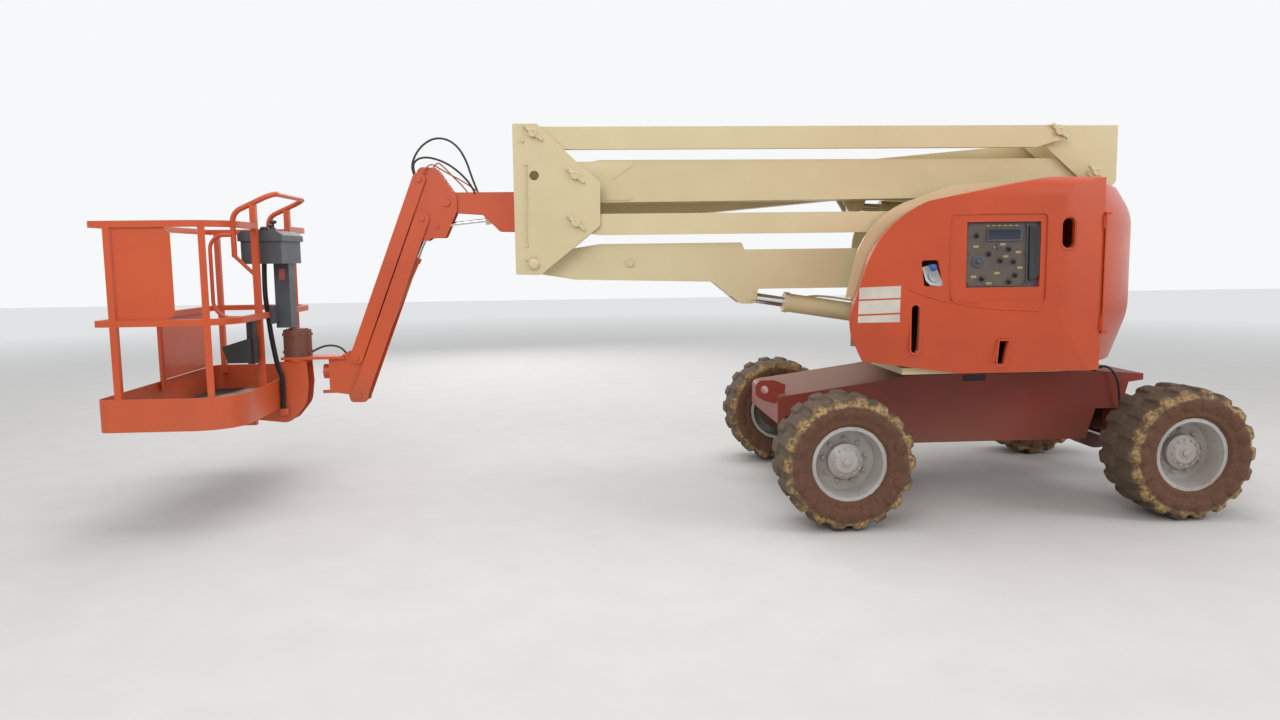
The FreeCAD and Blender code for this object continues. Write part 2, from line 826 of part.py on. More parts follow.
def hood_solid(side, inset):
    """Side outline, plan outline and cross-section crossed into one rounded form, drawn in by inset."""
    x, i = s.centre_x, Size.of(inset)
    inner = s.hood_inner * side if inset == 0 else (s.hood_inner - 5) * side
    front_in = s.near_front_in if side < 0 else s.far_front_in
    outer = (s.hood_outer - i) * side
    middle = (outer + inner) / 2
    deep = s.hood_outer - s.hood_inner + 10
    rear = x + s.hood_rear if inset == 0 else x + s.hood_rear + 5
    low = 0 if inset == 0 else -20
    view = plate((
        (x - 1150, s.hood_low + 105 + low),
        (x - 1150, s.hood_top - 245 - i),
        (x + 160, s.hood_top + 3 - i, 1000),
        (rear, s.hood_top - 5 - i),
        (rear, s.hood_low - 7 + low),
        (x - 364, s.hood_low - 11 + low),
    ), middle, deep)
    nose = plate((
        (Size.of(60) + i, s.hood_low + 78 + low, 130),
        (Size.of(-27) + i, s.hood_low + 278 + low, 250),
        (Size.of(177) + i * 0.9, s.hood_top - 188 - i * 0.7, 600 - i),
        (Size.of(1900), s.hood_top + 212 - i),
        (Size.of(1900), s.hood_low - 200),
        (Size.of(320), s.hood_low - 200),
    ), Size.of(0), deep * 3)
    turn(nose, (0, 0, 1), -hood_slant(side))
    move(nose, (x + (s.near_front_out if side < 0 else s.far_front_out) + 37, outer, 0))
    plan = slab((
        (x + front_in + i * 1.04, inner),
        (x + hood_corner(side, i), outer, 55 - i),
        (x + s.hood_bend, outer, 300),
        (rear, (s.tail_outer - i) * side),
        (rear, inner),
    ), s.hood_low - 300, s.hood_top - s.hood_low + 500)
    section = across((
        (inner, s.hood_low - 17 + low),
        (outer - 45 * side, s.hood_low - 17 + low),
        (outer, s.hood_low + 263, 500),
        (outer, s.hood_top + 12 - i, s.hood_round - i),
        (inner, s.hood_top + 12 - i),
    ), x - 1300, Size.of(2000))
    common = doc.addObject("Part::MultiCommon", fresh("common"))
    common.Shapes = [view, plan, section, nose]
    return common


def across(corners, start, length):
    """A bar along X: its outline in Y and Z."""
    body = doc.addObject("PartDesign::Body", fresh("bar"))
    sketch = outline(body, "YZ_Plane", corners)
    pad = body.newObject("PartDesign::Pad", fresh("pad"))
    pad.Profile = sketch
    bind(pad, "Length", length)
    bind(body, "Placement.Base.x", start)
    return body


def hood(label, side, windows):
    shell = trim(hood_solid(side, 0), hood_solid(side, s.hood_wall), *windows)
    return node(join(shell, *hood_knuckles(side)), label)


def near_window():
    """Openings of the near hood: the controls in their pressed frame, a grip hole, a slot, two latches."""
    x, face = s.centre_x, -s.hood_outer
    deep = (face - 50, face + 80)
    return (
        block((x - 350, x + 90), deep, (1418, 1796)),
        block((x - 447, x + 124), (face - 50, face + 7), (1339, 1838)),
        pierced(((x + 215, 1641, 38), (x + 215, 1814, 38), (x + 295, 1814, 38), (x + 295, 1641, 38)), deep),
        pierced(((x - 671, 1041, 20), (x - 671, 1322, 20), (x - 623, 1322, 20), (x - 623, 1041, 20)), deep),
        pierced(((x - 600, 1430, 15), (x - 620, 1580, 15), (x - 520, 1580, 15), (x - 490, 1430, 15)), deep),
        pierced(((x - 150, 965), (x - 140, 1102), (x - 85, 1102), (x - 100, 965)), deep),
    )


def pierced(corners, deep):
    """A cutter through a wall: its outline in X and Z, its limits across."""
    return plate(corners, (deep[0] + deep[1]) / 2, deep[1] - deep[0])


def ground_controls():
    """Control box behind the window of the near hood."""
    x = s.centre_x
    box = block((x - 368, x + 108), (-s.hood_outer + s.hood_wall + s.seat, -s.hood_outer + 190), (1400, 1814))
    return node(box, "ground_controls")


def engine():
    x = s.centre_x
    return node(block((x - 220, x + 360), (470, 880), (s.deck_low + s.deck_thick, 1620)), "engine_block")


def tank():
    x = s.centre_x
    return node(block((x - 660, x + 300), (-800, -460), (s.deck_low + s.deck_thick, 1300)), "tank")


# Tower: booms and links between the turntable and the uprights
def bored(piece, *places, start, length):
    holes = [rod((px, start, pz), "y", length, s.pin_radius + 0.3) for px, pz in places]
    return trim(piece, *holes)


def lane(near, far):
    """Middle and thickness of a lane between two distances on the near side."""
    return -(near + far) / 2, near - far


def lower_boom():
    x, z = s.centre_x + s.lower_pin_x + s.arm_length, s.lower_pin_z
    tip = x - s.arm_length
    lug_x, lug_z = lift_head()
    middle, thick = lane(s.tower_near, s.tower_far)
    beam = plate((
        (x + 60, z - 62, 50),
        (x + 60, z + 58, 50),
        (x - 150, z + 77),
        (lug_x - 40, z + 77),
        (lug_x - 60, z + 123, 15),
        (tip + 423, z + 123, 60),
        (tip - 52, z + 52, 50),
        (tip - 52, z - 52, 50),
        (tip + 258, z - 106),
        (lug_x - 244, z - 132, 60),
        (lug_x - 62, lug_z - 42, 40),
        (lug_x + 40, lug_z - 42, 40),
        (lug_x + 50, z - 183, 10),
        (x - 150, z - 183, 60),
    ), middle, thick)
    slot = block((lug_x - 120, lug_x + 700), (middle - 66, middle + 66), (lug_z - 150, lug_z + 66))
    wide = s.tower_near - s.tower_far + 16
    pin = rod((lug_x, middle - wide / 2, lug_z), "y", wide, s.pin_radius)
    boom = trim(join(beam, pin), slot)
    return node(bored(boom, (x, z), (tip, z), start=middle - wide / 2, length=wide), "lower_boom")


def lift_head():
    """Pin of the tower's lift cylinder, under the front of the lower boom."""
    return s.centre_x + s.head_eye_x, s.head_eye_z


def long_link(label, x, z, length, low, high):
    middle, thick = lane(s.link_near, s.link_far)
    bar = plate((
        (x - 48, z - 46, 44),
        (x - 48, z + 44, 44),
        (x + 120, z + high),
        (x + length - 120, z + high),
        (x + length + 48, z + 44, 44),
        (x + length + 48, z - 46, 44),
        (x + length - 150, z - low),
        (x + 150, z - low),
    ), middle, thick)
    return node(bored(bar, (x, z), (x + length, z), start=middle - thick, length=thick * 2), label)


def lower_link():
    x = s.centre_x + s.lower_pin_x + s.link_step_x
    return long_link("lower_link", x, s.lower_pin_z + s.link_step_z, s.arm_length, 79, 55)


def top_link():
    x = s.centre_x + s.mid_pin_x + s.top_step_x
    return long_link("top_link", x, s.mid_pin_z + s.top_step_z, s.mid_length, 100, 40)


def mid_boom():
    x, z = s.centre_x + s.mid_pin_x, s.mid_pin_z
    middle, thick = lane(s.tower_near, s.tower_far)
    end = x + s.mid_length
    beam = plate((
        (x - 58, z - 60, 50),
        (x - 58, z + 60, 50),
        (x + 160, z + 105),
        (end - 250, z + 100),
        (end + 58, z + 58, 50),
        (end + 58, z - 58, 50),
        (end - 250, z - 150),
        (x + 160, z - 165),
    ), middle, thick)
    wide = thick + 20
    return node(bored(beam, (x, z), (end, z), start=middle - wide / 2, length=wide), "mid_boom")


def front_upright():
    x, z = s.centre_x + s.lower_pin_x, s.lower_pin_z
    bx, bz = s.centre_x + s.mid_pin_x, s.mid_pin_z
    ax, az = bx + s.top_step_x, bz + s.top_step_z
    cx, cz = x + s.link_step_x, z + s.link_step_z
    edge = (
        (x - 116, z - 66, 12),
        (x - 116, az + 56, 12),
        (ax + 26, az + 56, 12),
        (bx + 20, bz + 75, 20),
        (bx + 158, bz - 45, 20),
        (cx + 154, cz - 21, 25),
        (x + 40, z - 71, 25),
    )
    cheeks = [plate(edge, -s.upright_near, s.upright_thick), plate(edge, -s.upright_far, s.upright_thick)]
    start = -s.upright_near - 30
    pins = [rod((px, start, pz), "y", s.upright_near - s.upright_far + 40, s.pin_radius)
            for px, pz in ((x, z), (cx, cz), (bx, bz), (ax, az))]
    web = block((x - 116, x - 102), (-s.upright_near, -s.upright_far), (z - 40, az + 30))
    sight = rod((x + 14, -s.upright_near - 30, bz), "y", 60, 30)
    return node(trim(join(*cheeks, *pins, web), sight), "front_upright")


def rear_upright():
    bx, bz = s.centre_x + s.mid_pin_x + s.mid_length, s.mid_pin_z
    ax, az = bx + s.top_step_x, bz + s.top_step_z
    mx, mz = s.centre_x + s.main_pin_x, s.main_pin_z
    ex, ez = main_foot()
    right = bx + 175
    top = az + 45
    near = plate((
        (ax - 115, az - 40, 30),
        (ax - 115, top),
        (right, top),
        (right, bz - 85, 40),
        (bx - 20, bz - 85, 60),
    ), -s.rear_near, s.rear_thick)
    middle = plate((
        (ax - 115, az - 40, 30),
        (ax - 115, top),
        (right, top),
        (right, bz - 85, 40),
        (bx - 20, bz - 85, 60),
    ), -s.rear_mid, s.rear_thick)
    far = plate((
        (ex - 60, ez - 60, 55),
        (ax - 60, az - 100, 30),
        (ax - 60, top),
        (right, top),
        (right, bz - 85, 40),
        (ex + 60, ez - 60, 55),
    ), s.rear_far, s.rear_thick)
    lug = plate((
        (ex - 60, ez - 60, 55),
        (ex - 60, ez + 60, 55),
        (mx, mz - 130, 60),
        (right, mz - 130),
        (right, bz - 85, 40),
        (ex + 60, ez - 60, 55),
    ), s.rear_lug, s.rear_thick - 3)
    web = block((right - 14, right), (-s.rear_near, s.rear_far), (bz - 40, top))
    low_pin = rod((bx, -s.rear_near - 20, bz), "y", s.rear_near - s.rear_mid + 20, s.pin_radius)
    top_pin = rod((ax, -s.link_near - 12, az), "y", s.link_near - s.rear_mid + 12, s.pin_radius)
    main_pin = rod((mx, -s.rear_mid, mz), "y", s.rear_mid + s.rear_far + 15, s.pin_radius)
    foot_pin = rod((ex, s.rear_lug, ez), "y", s.rear_far - s.rear_lug + 15, s.pin_radius)
    return node(join(near, middle, far, lug, web, low_pin, top_pin, main_pin, foot_pin), "rear_upright")


def main_foot():
    """Foot pin of the main lift cylinder on the rear upright."""
    return s.centre_x + s.main_foot_x, s.main_foot_z


# Main boom and fly, modelled level with the main pin at the origin, then turned to their slope
def slope_place(thing):
    turn(thing, (0, 1, 0), -s.main_slope)
    move(thing, (s.centre_x + s.main_pin_x, s.boom_y, s.main_pin_z))
    return thing


def main_boom():
    half, drop = s.main_deep / 2, s.main_drop
    wide = s.main_wide
    tube = plate((
        (-s.main_length, -drop - half),
        (-s.main_length, -drop + half),
        (-120, -drop + half, 60),
        (60, 60, 55),
        (60, -60, 55),
        (-120, -drop - half, 60),
    ), 0, wide)
    inside = (half - s.boom_wall, wide / 2 - s.boom_wall)
    bore = block((-s.main_length - 1, -400), (-inside[1], inside[1]), (-drop - inside[0], -drop + inside[0]))
    pads = []
    for side in (-1, 1):
        gap = s.fly_wide / 2 + s.seat
        y = (gap, inside[1] + 1) if side > 0 else (-inside[1] - 1, -gap)
        pads.append(block((-s.main_length, -s.main_length + s.pad_long), y, (-drop - 60, -drop + 60)))
        gap = s.fly_deep / 2 + s.seat
        z = (-drop + gap, -drop + inside[0] + 1) if side > 0 else (-drop - inside[0] - 1, -drop - gap)
        pads.append(block((-s.main_length, -s.main_length + s.pad_long), (-40, 40), z))
    lug = plate((
        (s.eye_along - 90, -drop - half + 1),
        (s.eye_along - 40, s.eye_up - 42, 40),
        (s.eye_along + 40, s.eye_up - 42, 40),
        (s.eye_along + 90, -drop - half + 1),
    ), 0, 160)
    space = block((s.eye_along - 100, s.eye_along + 100), (-56, 56), (s.eye_up - 100, -drop - half))
    hole = rod((0, -wide / 2 - 10, 0), "y", wide + 20, s.pin_radius + 0.3)
    pin = rod((s.eye_along, -88, s.eye_up), "y", 176, s.pin_radius)
    boom = join(trim(join(trim(tube, bore), trim(join(lug, pin), space)), hole), *pads)
    return node(slope_place(boom), "main_boom")


def fly_boom():
    """Inner boom tube with the nose that carries the head."""
    half, drop = s.fly_deep / 2, s.main_drop
    side, wall = s.fly_wide / 2, s.boom_wall
    front = -s.main_length - s.fly_reach
    tube = trim(
        block((front, -s.fly_root), (-side, side), (-drop - half, -drop + half)),
        block((front - 10, -s.fly_root + 10), (-side + wall, side - wall),
              (-drop - half + wall, -drop + half - wall)),
    )
    roof = s.main_deep / 2 - wall - s.seat
    wide = s.main_wide / 2 - wall - s.seat
    shoe = trim(
        block((-s.fly_root - s.pad_long, -s.fly_root), (-wide, wide), (-drop - roof, -drop + roof)),
        block((-s.fly_root - s.pad_long - 1, -s.fly_root + 1), (-side + 1, side - 1),
              (-drop - half + 1, -drop + half - 1)),
    )
    tube = slope_place(join(tube, shoe))
    x, z = s.centre_x + s.head_pin_x, s.head_pin_z
    top = z + 67
    body = plate((
        (x + 545, top),
        (x - 46, top, 45),
        (x - 46, z - 62, 45),
        (x + 235, z - 82, 40),
        (x + 353, z - 198, 12),
        (x + 545, z - 202),
    ), s.boom_y, s.nose_half * 2)
    inside = s.nose_half - s.nose_wall
    hollow = block((x + 50, x + 546), (s.boom_y - inside, s.boom_y + inside), (z - 300, z + 50))
    pin = rod((x, s.boom_y - s.head_half - 20, z), "y", s.head_half * 2 + 40, s.pin_radius)
    gx, gz = level_foot()
    cross = rod((gx, s.boom_y - side, gz), "y", side * 2, 14)
    return node(join(tube, trim(body, hollow), pin, cross), "fly_boom")


def level_foot():
    return s.centre_x + s.level_foot_x, s.level_foot_z


def head():
    """Pair of plates at the boom's end that carry the jib arms and are kept level."""
    x, z = s.centre_x + s.head_pin_x, s.head_pin_z
    ux, uz = s.centre_x + s.jib_pin_x + s.jib_step_x, s.jib_pin_z + s.jib_step_z
    lx, lz = s.centre_x + s.jib_pin_x, s.jib_pin_z
    vx, vz = level_eye()
    kx, kz = jib_eye()
    edge = (
        (ux - 45, uz - 30, 30),
        (ux + 0, uz + 80, 40),
        (x - 60, uz + 75, 30),
        (x + 71, z + 38, 15),
        (x + 71, z - 50, 15),
        (x - 15, z - 236, 20),
        (x - 110, z - 236, 25),
        (kx + 24, kz - 28, 20),
        (kx - 30, kz - 28, 24),
        (lx - 45, lz - 30, 30),
    )
    cheeks = [plate(edge, s.boom_y + s.head_half * side, s.head_thick) for side in (-1, 1)]
    start, length = s.boom_y - s.jib_half - 16, (s.jib_half + 16) * 2
    pins = [rod((px, start, pz), "y", length, 20) for px, pz in ((ux, uz), (lx, lz))]
    bolt = rod((vx, s.boom_y - s.head_half - 16, vz), "y", (s.head_half + 16) * 2, 14)
    between = s.head_half - s.head_thick / 2
    space = block((vx - 40, vx + 40), (s.boom_y - between, s.boom_y + between), (vz - 40, vz + 40))
    holes = rod((x, s.boom_y - 200, z), "y", 400, s.pin_radius + 0.3)
    return node(join(trim(join(*cheeks), holes), *pins, trim(bolt, space)), "head")


def level_eye():
    return s.centre_x + s.level_eye_x, s.level_eye_z


def jib_eye():
    return s.centre_x + s.jib_eye_x, s.jib_eye_z


def jib_place(thing, x, z):
    turn(thing, (0, 1, 0), -s.jib_slope)
    move(thing, (x, s.boom_y, z))
    return thing


def jib_arm():
    """Upper arm: two side plates and two webs, level with its top pin at the origin, then turned down."""
    half, length = s.jib_arm_deep / 2, s.jib_length
    edge = (
        (40, -half, 40),
        (40, half, 40),
        (-length - 40, half, 40),
        (-length - 40, -half, 40),
    )
    sides = [plate(edge, s.jib_half * side, s.head_thick) for side in (-1, 1)]
    webs = [block((-length + s.jib_web, -s.jib_web), (-s.jib_half, s.jib_half), (z, z + 8))
            for z in (-half, half - 8)]
    holes = [rod((px, -200, 0), "y", 400, 20.3) for px in (0, -length)]
    arm = trim(join(*sides, *webs), *holes)
    jib_place(arm, s.centre_x + s.jib_pin_x + s.jib_step_x, s.jib_pin_z + s.jib_step_z)
    return node(arm, "jib_arm")


def jib_link():
    """Lower arm, a channel open on its under side, which hides the jib's cylinder."""
    half, length = s.jib_link_deep / 2, s.jib_length
    edge = (
        (42, -half, 42),
        (42, half, 42),
        (-length - 42, half, 42),
        (-length - 42, -half, 42),
    )
    sides = [plate(edge, s.jib_half * side, s.head_thick) for side in (-1, 1)]
    web = block((-length + s.jib_web, -s.jib_web), (-s.jib_half, s.jib_half), (half - 8, half))
    holes = [rod((px, -200, 0), "y", 400, 20.3) for px in (0, -length)]
    pin = rod((-s.jib_foot, -s.jib_half, s.jib_foot_up), "y", s.jib_half * 2, 14)
    arm = join(trim(join(*sides, web), *holes), pin)
    jib_place(arm, s.centre_x + s.jib_pin_x, s.jib_pin_z)
    return node(arm, "jib_link")


def jib_end(x, z):
    """A jib pin's place at the lower end of its arm."""
    lean = math.radians(s.jib_slope.value)
    across_x = Size(math.cos(lean), "cos(sizes.jib_slope * 1deg)")
    down = Size(math.sin(lean), "sin(sizes.jib_slope * 1deg)")
    return x - s.jib_length * across_x, z - s.jib_length * down


def jib_support():
    """Level support under the jib with the shelf that carries the rotator."""
    ux, uz = jib_end(s.centre_x + s.jib_pin_x + s.jib_step_x, s.jib_pin_z + s.jib_step_z)
    lx, lz = jib_end(s.centre_x + s.jib_pin_x, s.jib_pin_z)
    edge = (
        (lx - 200, s.shelf_z - 30),
        (lx - 200, lz + 30),
        (lx - 75, lz + 10),
        (lx - 62, lz - 45, 25),
        (lx + 50, lz - 45, 25),
        (lx + 50, lz + 60),
        (ux + 45, uz + 50, 25),
        (ux - 45, uz + 50, 25),
    )
    y = s.boom_y
    cheeks = [plate(edge, y + s.head_half * side, s.head_thick) for side in (-1, 1)]
    box = block((lx - 200, lx - 90), (y - s.head_half, y + s.head_half), (lz + 30, s.shelf_z - 30))
    rx = s.centre_x + s.rotor_x
    shelf = block((rx - s.rotor_radius, lx - 90), (y - s.rotor_radius, y + s.rotor_radius),
                  (s.shelf_z, s.shelf_z + s.shelf_thick))
    riser = block((lx - 200, lx - 90), (y - s.head_half, y + s.head_half), (s.shelf_z - 31, s.shelf_z + 1))
    foot = s.shelf_z + s.shelf_thick
    motor = rod((rx, y, foot), "z", s.rotor_top - foot, s.rotor_radius)
    start, length = y - s.jib_half - 16, (s.jib_half + 16) * 2
    pins = [rod((px, start, pz), "y", length, 20) for px, pz in ((ux, uz), (lx, lz))]
    stub = rod((lx - 245, y, lz + 165), "x", 46, 50)
    low_rod = rod((lx - 262, y, lz + 24), "x", 190, 11)
    return node(join(*cheeks, box, shelf, riser, *pins, stub, low_rod), "jib_support"), node(motor, "rotator")


# Platform
def basket_plan(inset):
    """Corners of the platform's plan, drawn in by inset; the boom side has the wide round corners."""
    left = s.centre_x - s.basket_left + inset
    right = s.centre_x - s.basket_right - inset
    near = s.boom_y - s.basket_width / 2 + inset
    far = s.boom_y + s.basket_width / 2 - inset
    return (
        (left, near, 60 - inset),
        (right, near, s.basket_corner - inset),
        (right, far, s.basket_corner - inset),
        (left, far, 60 - inset),
    )


def toe_board():
    outer = slab(basket_plan(0), s.deck_z - 8, s.toe_tall)
    inner = slab(basket_plan(s.toe_thick), s.deck_z - 20, s.toe_tall + 40)
    return node(trim(outer, inner), "toe_board")


def platform_deck():
    floor = slab(basket_plan(s.toe_thick + 0.3), s.deck_z - 8, 8)
    return node(floor, "platform_deck")


def mount_frame():
    """Curved side plates that hang from the rotator and run under the deck."""
    rx, y = s.centre_x + s.rotor_x, s.boom_y
    top = s.shelf_z - 0.3
    back = s.centre_x - s.basket_right + s.seat
    edge = (
        (back, top - 12),
        (rx + 70, top - 12),
        (rx + 78, top - 160),
        (rx + 60, s.deck_z + 20, 120),
        (rx - 50, s.deck_z - 115, 90),
        (rx - 420, s.deck_z - 70),
        (rx - 420, s.deck_z - 8.3),
        (back, s.deck_z - 8.3),
    )
    cheeks = [plate(edge, y + 74 * side, 10) for side in (-1, 1)]
    flange = rod((rx, y, top - 13), "z", 13, s.rotor_radius)
    bridge = block((rx - 90, rx + 55), (y - 74, y + 74), (top - 24, top - 12))
    beams = [block((rx - 840, rx - 130), (y + offset - 20, y + offset + 20), (s.deck_z - 48, s.deck_z - 8.3))
             for offset in (-500, 500)]
    ties = [block((rx - at - 20, rx - at + 20), (y - 520, y + 520), (s.deck_z - 48, s.deck_z - 8.3))
            for at in (300, 700)]
    long = block((rx - 720, rx - 400), (y - 20, y + 20), (s.deck_z - 48, s.deck_z - 8.3))
    return node(join(*cheeks, flange, bridge, *beams, *ties, long), "mount_frame")


def rail_inset():
    """How far the rails' middle line stands in from the toe board's outside."""
    return s.toe_thick + s.post_half + s.seat


def tube_ring(z, half, inset):
    """A bent square tube round the whole plan at one height."""
    rows = [(c[0], c[1], z, c[2]) for c in basket_plan(inset)]
    return bent(run_edges(rows, closed=True), half, square=True)


def run_edges(rows, closed=False):
    """Straight runs through the corners (x, y, z, radius), rounded where a radius is given."""
    rows = [tuple(Size.of(v).value for v in row) for row in rows]
    points = [FreeCAD.Vector(*row[:3]) for row in rows]
    ends = []
    for i, here in enumerate(points):
        if not closed and i in (0, len(points) - 1):
            ends.append((here, here, here))
            continue
        back = (points[i - 1] - here).normalize()
        ahead = (points[(i + 1) % len(points)] - here).normalize()
        half = back.getAngle(ahead) / 2
        reach = rows[i][3] / math.tan(half)
        middle = here + (back + ahead).normalize() * (rows[i][3] / math.sin(half))
        half_way = middle + (here - middle).normalize() * rows[i][3]
        ends.append((here + back * reach, half_way, here + ahead * reach))
    edges = []
    for i in range(len(points)):
        if ends[i][0] != ends[i][2]:
            edges.append(Part.Arc(*ends[i]).toShape())
        if closed or i < len(points) - 1:
            edges.append(Part.LineSegment(ends[i][2], ends[(i + 1) % len(points)][0]).toShape())
    return edges


def bent(edges, half, square=False):
    """A round or square bar swept along joined edges."""
    path = Part.Wire(Part.__sortEdges__(edges))
    first = path.OrderedEdges[0]
    start = first.valueAt(first.FirstParameter)
    direction = first.tangentAt(first.FirstParameter)
    size = Size.of(half).value
    if square:
        up = FreeCAD.Vector(0, 0, size)
        out = direction.cross(up)
        profile = Part.makePolygon([start + up + out, start + up - out, start - up - out, start - up + out,
                                    start + up + out])
    else:
        profile = Part.Wire([Part.makeCircle(size, start, direction)])
    thing = doc.addObject("Part::Feature", fresh("bent"))
    thing.Shape = path.makePipeShell([profile], True, False)
    return thing


def rail_x():
    """The middle line of the rails on the boom side."""
    return s.centre_x - s.basket_right - rail_inset()


def post_places():
    """Plan places and turns of the square posts, round the platform."""
    left = s.centre_x - s.basket_left + rail_inset()
    bend = s.basket_corner - rail_inset()
    reach, lean = bend - 1.5, math.radians(25)
    places = []
    for side in (-1, 1):
        y = s.boom_y + (s.basket_width / 2 - rail_inset()) * side
        places.append((left + (100 if side < 0 else 55), y, 0))
        places.append((rail_x() - bend + reach * math.sin(lean), y - (bend - reach * math.cos(lean)) * side,
                       -25 * side))
    return places


def square_post(x, y, turned_by, low, high):
    cos, sin = math.cos(math.radians(turned_by)), math.sin(math.radians(turned_by))
    h = s.post_half
    corners = [(x + h * (a * cos - b * sin), y + h * (a * sin + b * cos))
               for a, b in ((-1, -1), (1, -1), (1, 1), (-1, 1))]
    return slab(tuple(corners), low, high - low)


def gate_posts():
    """The hinge post and the latch post of the gate, across the platform."""
    near = s.boom_y + s.gate_near
    return near - s.gate_gap, near + s.gate_wide + s.gate_gap


def rails():
    low = s.deck_z - 8 + s.toe_tall
    posts = [square_post(x, y, lean, low - 60, s.rail_z) for x, y, lean in post_places()]
    left = s.centre_x - s.basket_left + rail_inset()
    hinge_y, latch_y = gate_posts()
    posts.append(rod((left, hinge_y, s.mid_rail_z), "z", s.rail_z - s.mid_rail_z, s.post_half))
    posts.append(rod((left, latch_y, low - 60), "z", s.rail_z - low + 60, s.post_half))
    top = tube_ring(s.rail_z, s.rail_radius, rail_inset())
    gap = block((left - 50, left + 50), gate_posts(), (low + 10, s.rail_z + 30))
    console_gap = block((rail_x() - 50, rail_x() + 50), (s.boom_y - s.guard_half, s.boom_y + s.guard_half),
                        (s.rail_z - 50, s.rail_z + 50))
    middle = tube_ring(s.mid_rail_z, s.post_half, rail_inset())
    return node(join(trim(join(top, middle), gap, console_gap), *posts, *guard()), "rails")


def guard():
    """Tube guard over the upper controls, its posts and braces, and a grab loop on the near side."""
    x, low = s.centre_x, s.deck_z - 8 + s.toe_tall
    ends = []
    for side in (-1, 1):
        y = s.boom_y + s.guard_half * side
        ends.append(((x + s.guard_x, y, s.guard_low, 0), (x + s.guard_x, y, s.guard_z - 120, 90),
                     (x + s.guard_out, y, s.guard_z, 80)))
    pieces = [bent(run_edges([*ends[0], *reversed(ends[1])]), 17)]
    for side in (-1, 1):
        y = s.boom_y + s.guard_half * side
        pieces.append(square_post(rail_x(), y, 0, low - 60, s.guard_z - 70))
        brace = ((x + s.guard_x, y, s.guard_low + 8, 0), (rail_x(), y, s.guard_low - 125, 0))
        pieces.append(bent(run_edges(brace), 12))
    y = s.boom_y - s.guard_half
    loop = (
        (rail_x(), y, s.loop_low, 0),
        (x + s.loop_x, y, s.loop_low, 110),
        (x + s.loop_x, y, s.loop_high, 90),
        (x + s.guard_x, y, s.loop_high, 0),
    )
    pieces.append(bent(run_edges(loop), 12))
    return pieces


def panels():
    """Sheet panels tied to the rails: one on the near side, one beside the gate."""
    near = s.boom_y - s.basket_width / 2 + rail_inset()
    left = s.centre_x - s.basket_left
    bottom = s.mid_rail_z + s.post_half + s.seat
    top = s.rail_z - s.rail_radius - s.seat
    big = plate((
        (left + 150, bottom),
        (left + 150, top),
        (left + 440, top, 5),
        (left + 475, top - 35, 5),
        (left + 475, bottom + 35, 5),
        (left + 440, bottom, 5),
    ), near, 4)
    low = s.deck_z - 8 + s.toe_tall + 10
    high = s.mid_rail_z - s.post_half - s.seat
    start = gate_posts()[1] + s.post_half + 6
    small = across(((start, low), (start, high), (start + 700, high), (start + 700, low)),
                   left + rail_inset() - 2, Size.of(4))
    return node(group(big, small), "rail_panels")


def gate():
    left = s.centre_x - s.basket_left + rail_inset()
    low = s.mid_rail_z
    y0, y1 = s.boom_y + s.gate_near, s.boom_y + s.gate_near + s.gate_wide
    pieces = [rod((left, y, low), "z", s.rail_z - low, s.gate_radius) for y in (y0, y1)]
    for z in (low, s.rail_z):
        pieces.append(rod((left, y0, z), "y", y1 - y0, s.gate_radius))
    post = gate_posts()[0]
    bore = s.post_half + s.seat
    for z in (low + 90, s.rail_z - 150):
        tab = block((left - 5, left + 5), (post, y0), (z, z + 60))
        sleeve = join(rod((left, post, z), "z", 60, bore + 6), tab)
        pieces.append(trim(sleeve, rod((left, post, z - 1), "z", 62, bore)))
    return node(join(*pieces), "gate")


def console():
    """Upper control box on its column at the boom side of the platform."""
    rx, y = s.centre_x + s.rotor_x, s.boom_y
    low, top = s.rail_z - 240, s.rail_z - 25
    lid = plate((
        (rx - 272, top - 68),
        (rx - 272, top - 22),
        (rx - 243, top),
        (rx - 30, top),
        (rx + 13, top - 30),
        (rx + 13, top - 68),
    ), y - 30, 460)
    tub = block((rx - 258, rx - 3), (y - 245, y + 185), (low, top - 67))
    return node(join(lid, tub), "console")


def console_column():
    rx, y = s.centre_x + s.rotor_x, s.boom_y
    rail = rail_x() + s.post_half + s.seat
    column = block((rail, rx - 15), (y - 70, y + 70), (s.rotor_top + 20, s.rail_z - 240 - s.seat))
    foot = block((rail, rail + 20), (y - 200, y + 200), (s.mid_rail_z - 60, s.mid_rail_z + 60))
    return node(join(column, foot), "console_column")


def document_box():
    rail, y = rail_x(), s.boom_y
    box = plate((
        (rail - 165, s.deck_z + 455),
        (rail - 2, s.deck_z + 505),
        (rail - 2, s.deck_z + 352),
        (rail - 135, s.deck_z + 352),
    ), y - 470, 190)
    top = s.mid_rail_z - s.post_half - s.seat
    strap = block((rail - 30, rail + 10), (y - 510, y - 430), (s.deck_z + 340, top))
    return node(join(box, strap), "document_box")


# Cylinders, modelled along X from the foot pin and turned to point at the eye
def square_root(size):
    return Size(math.sqrt(size.value), f"sqrt({size.text})")


def lean_of(dx, dz):
    """Angle about Y that points a piece's own X at the given step."""
    angle = math.degrees(math.atan2(dz.value, dx.value))
    return Size(-angle, f"(0deg - atan2({dz.text}; {dx.text}))")


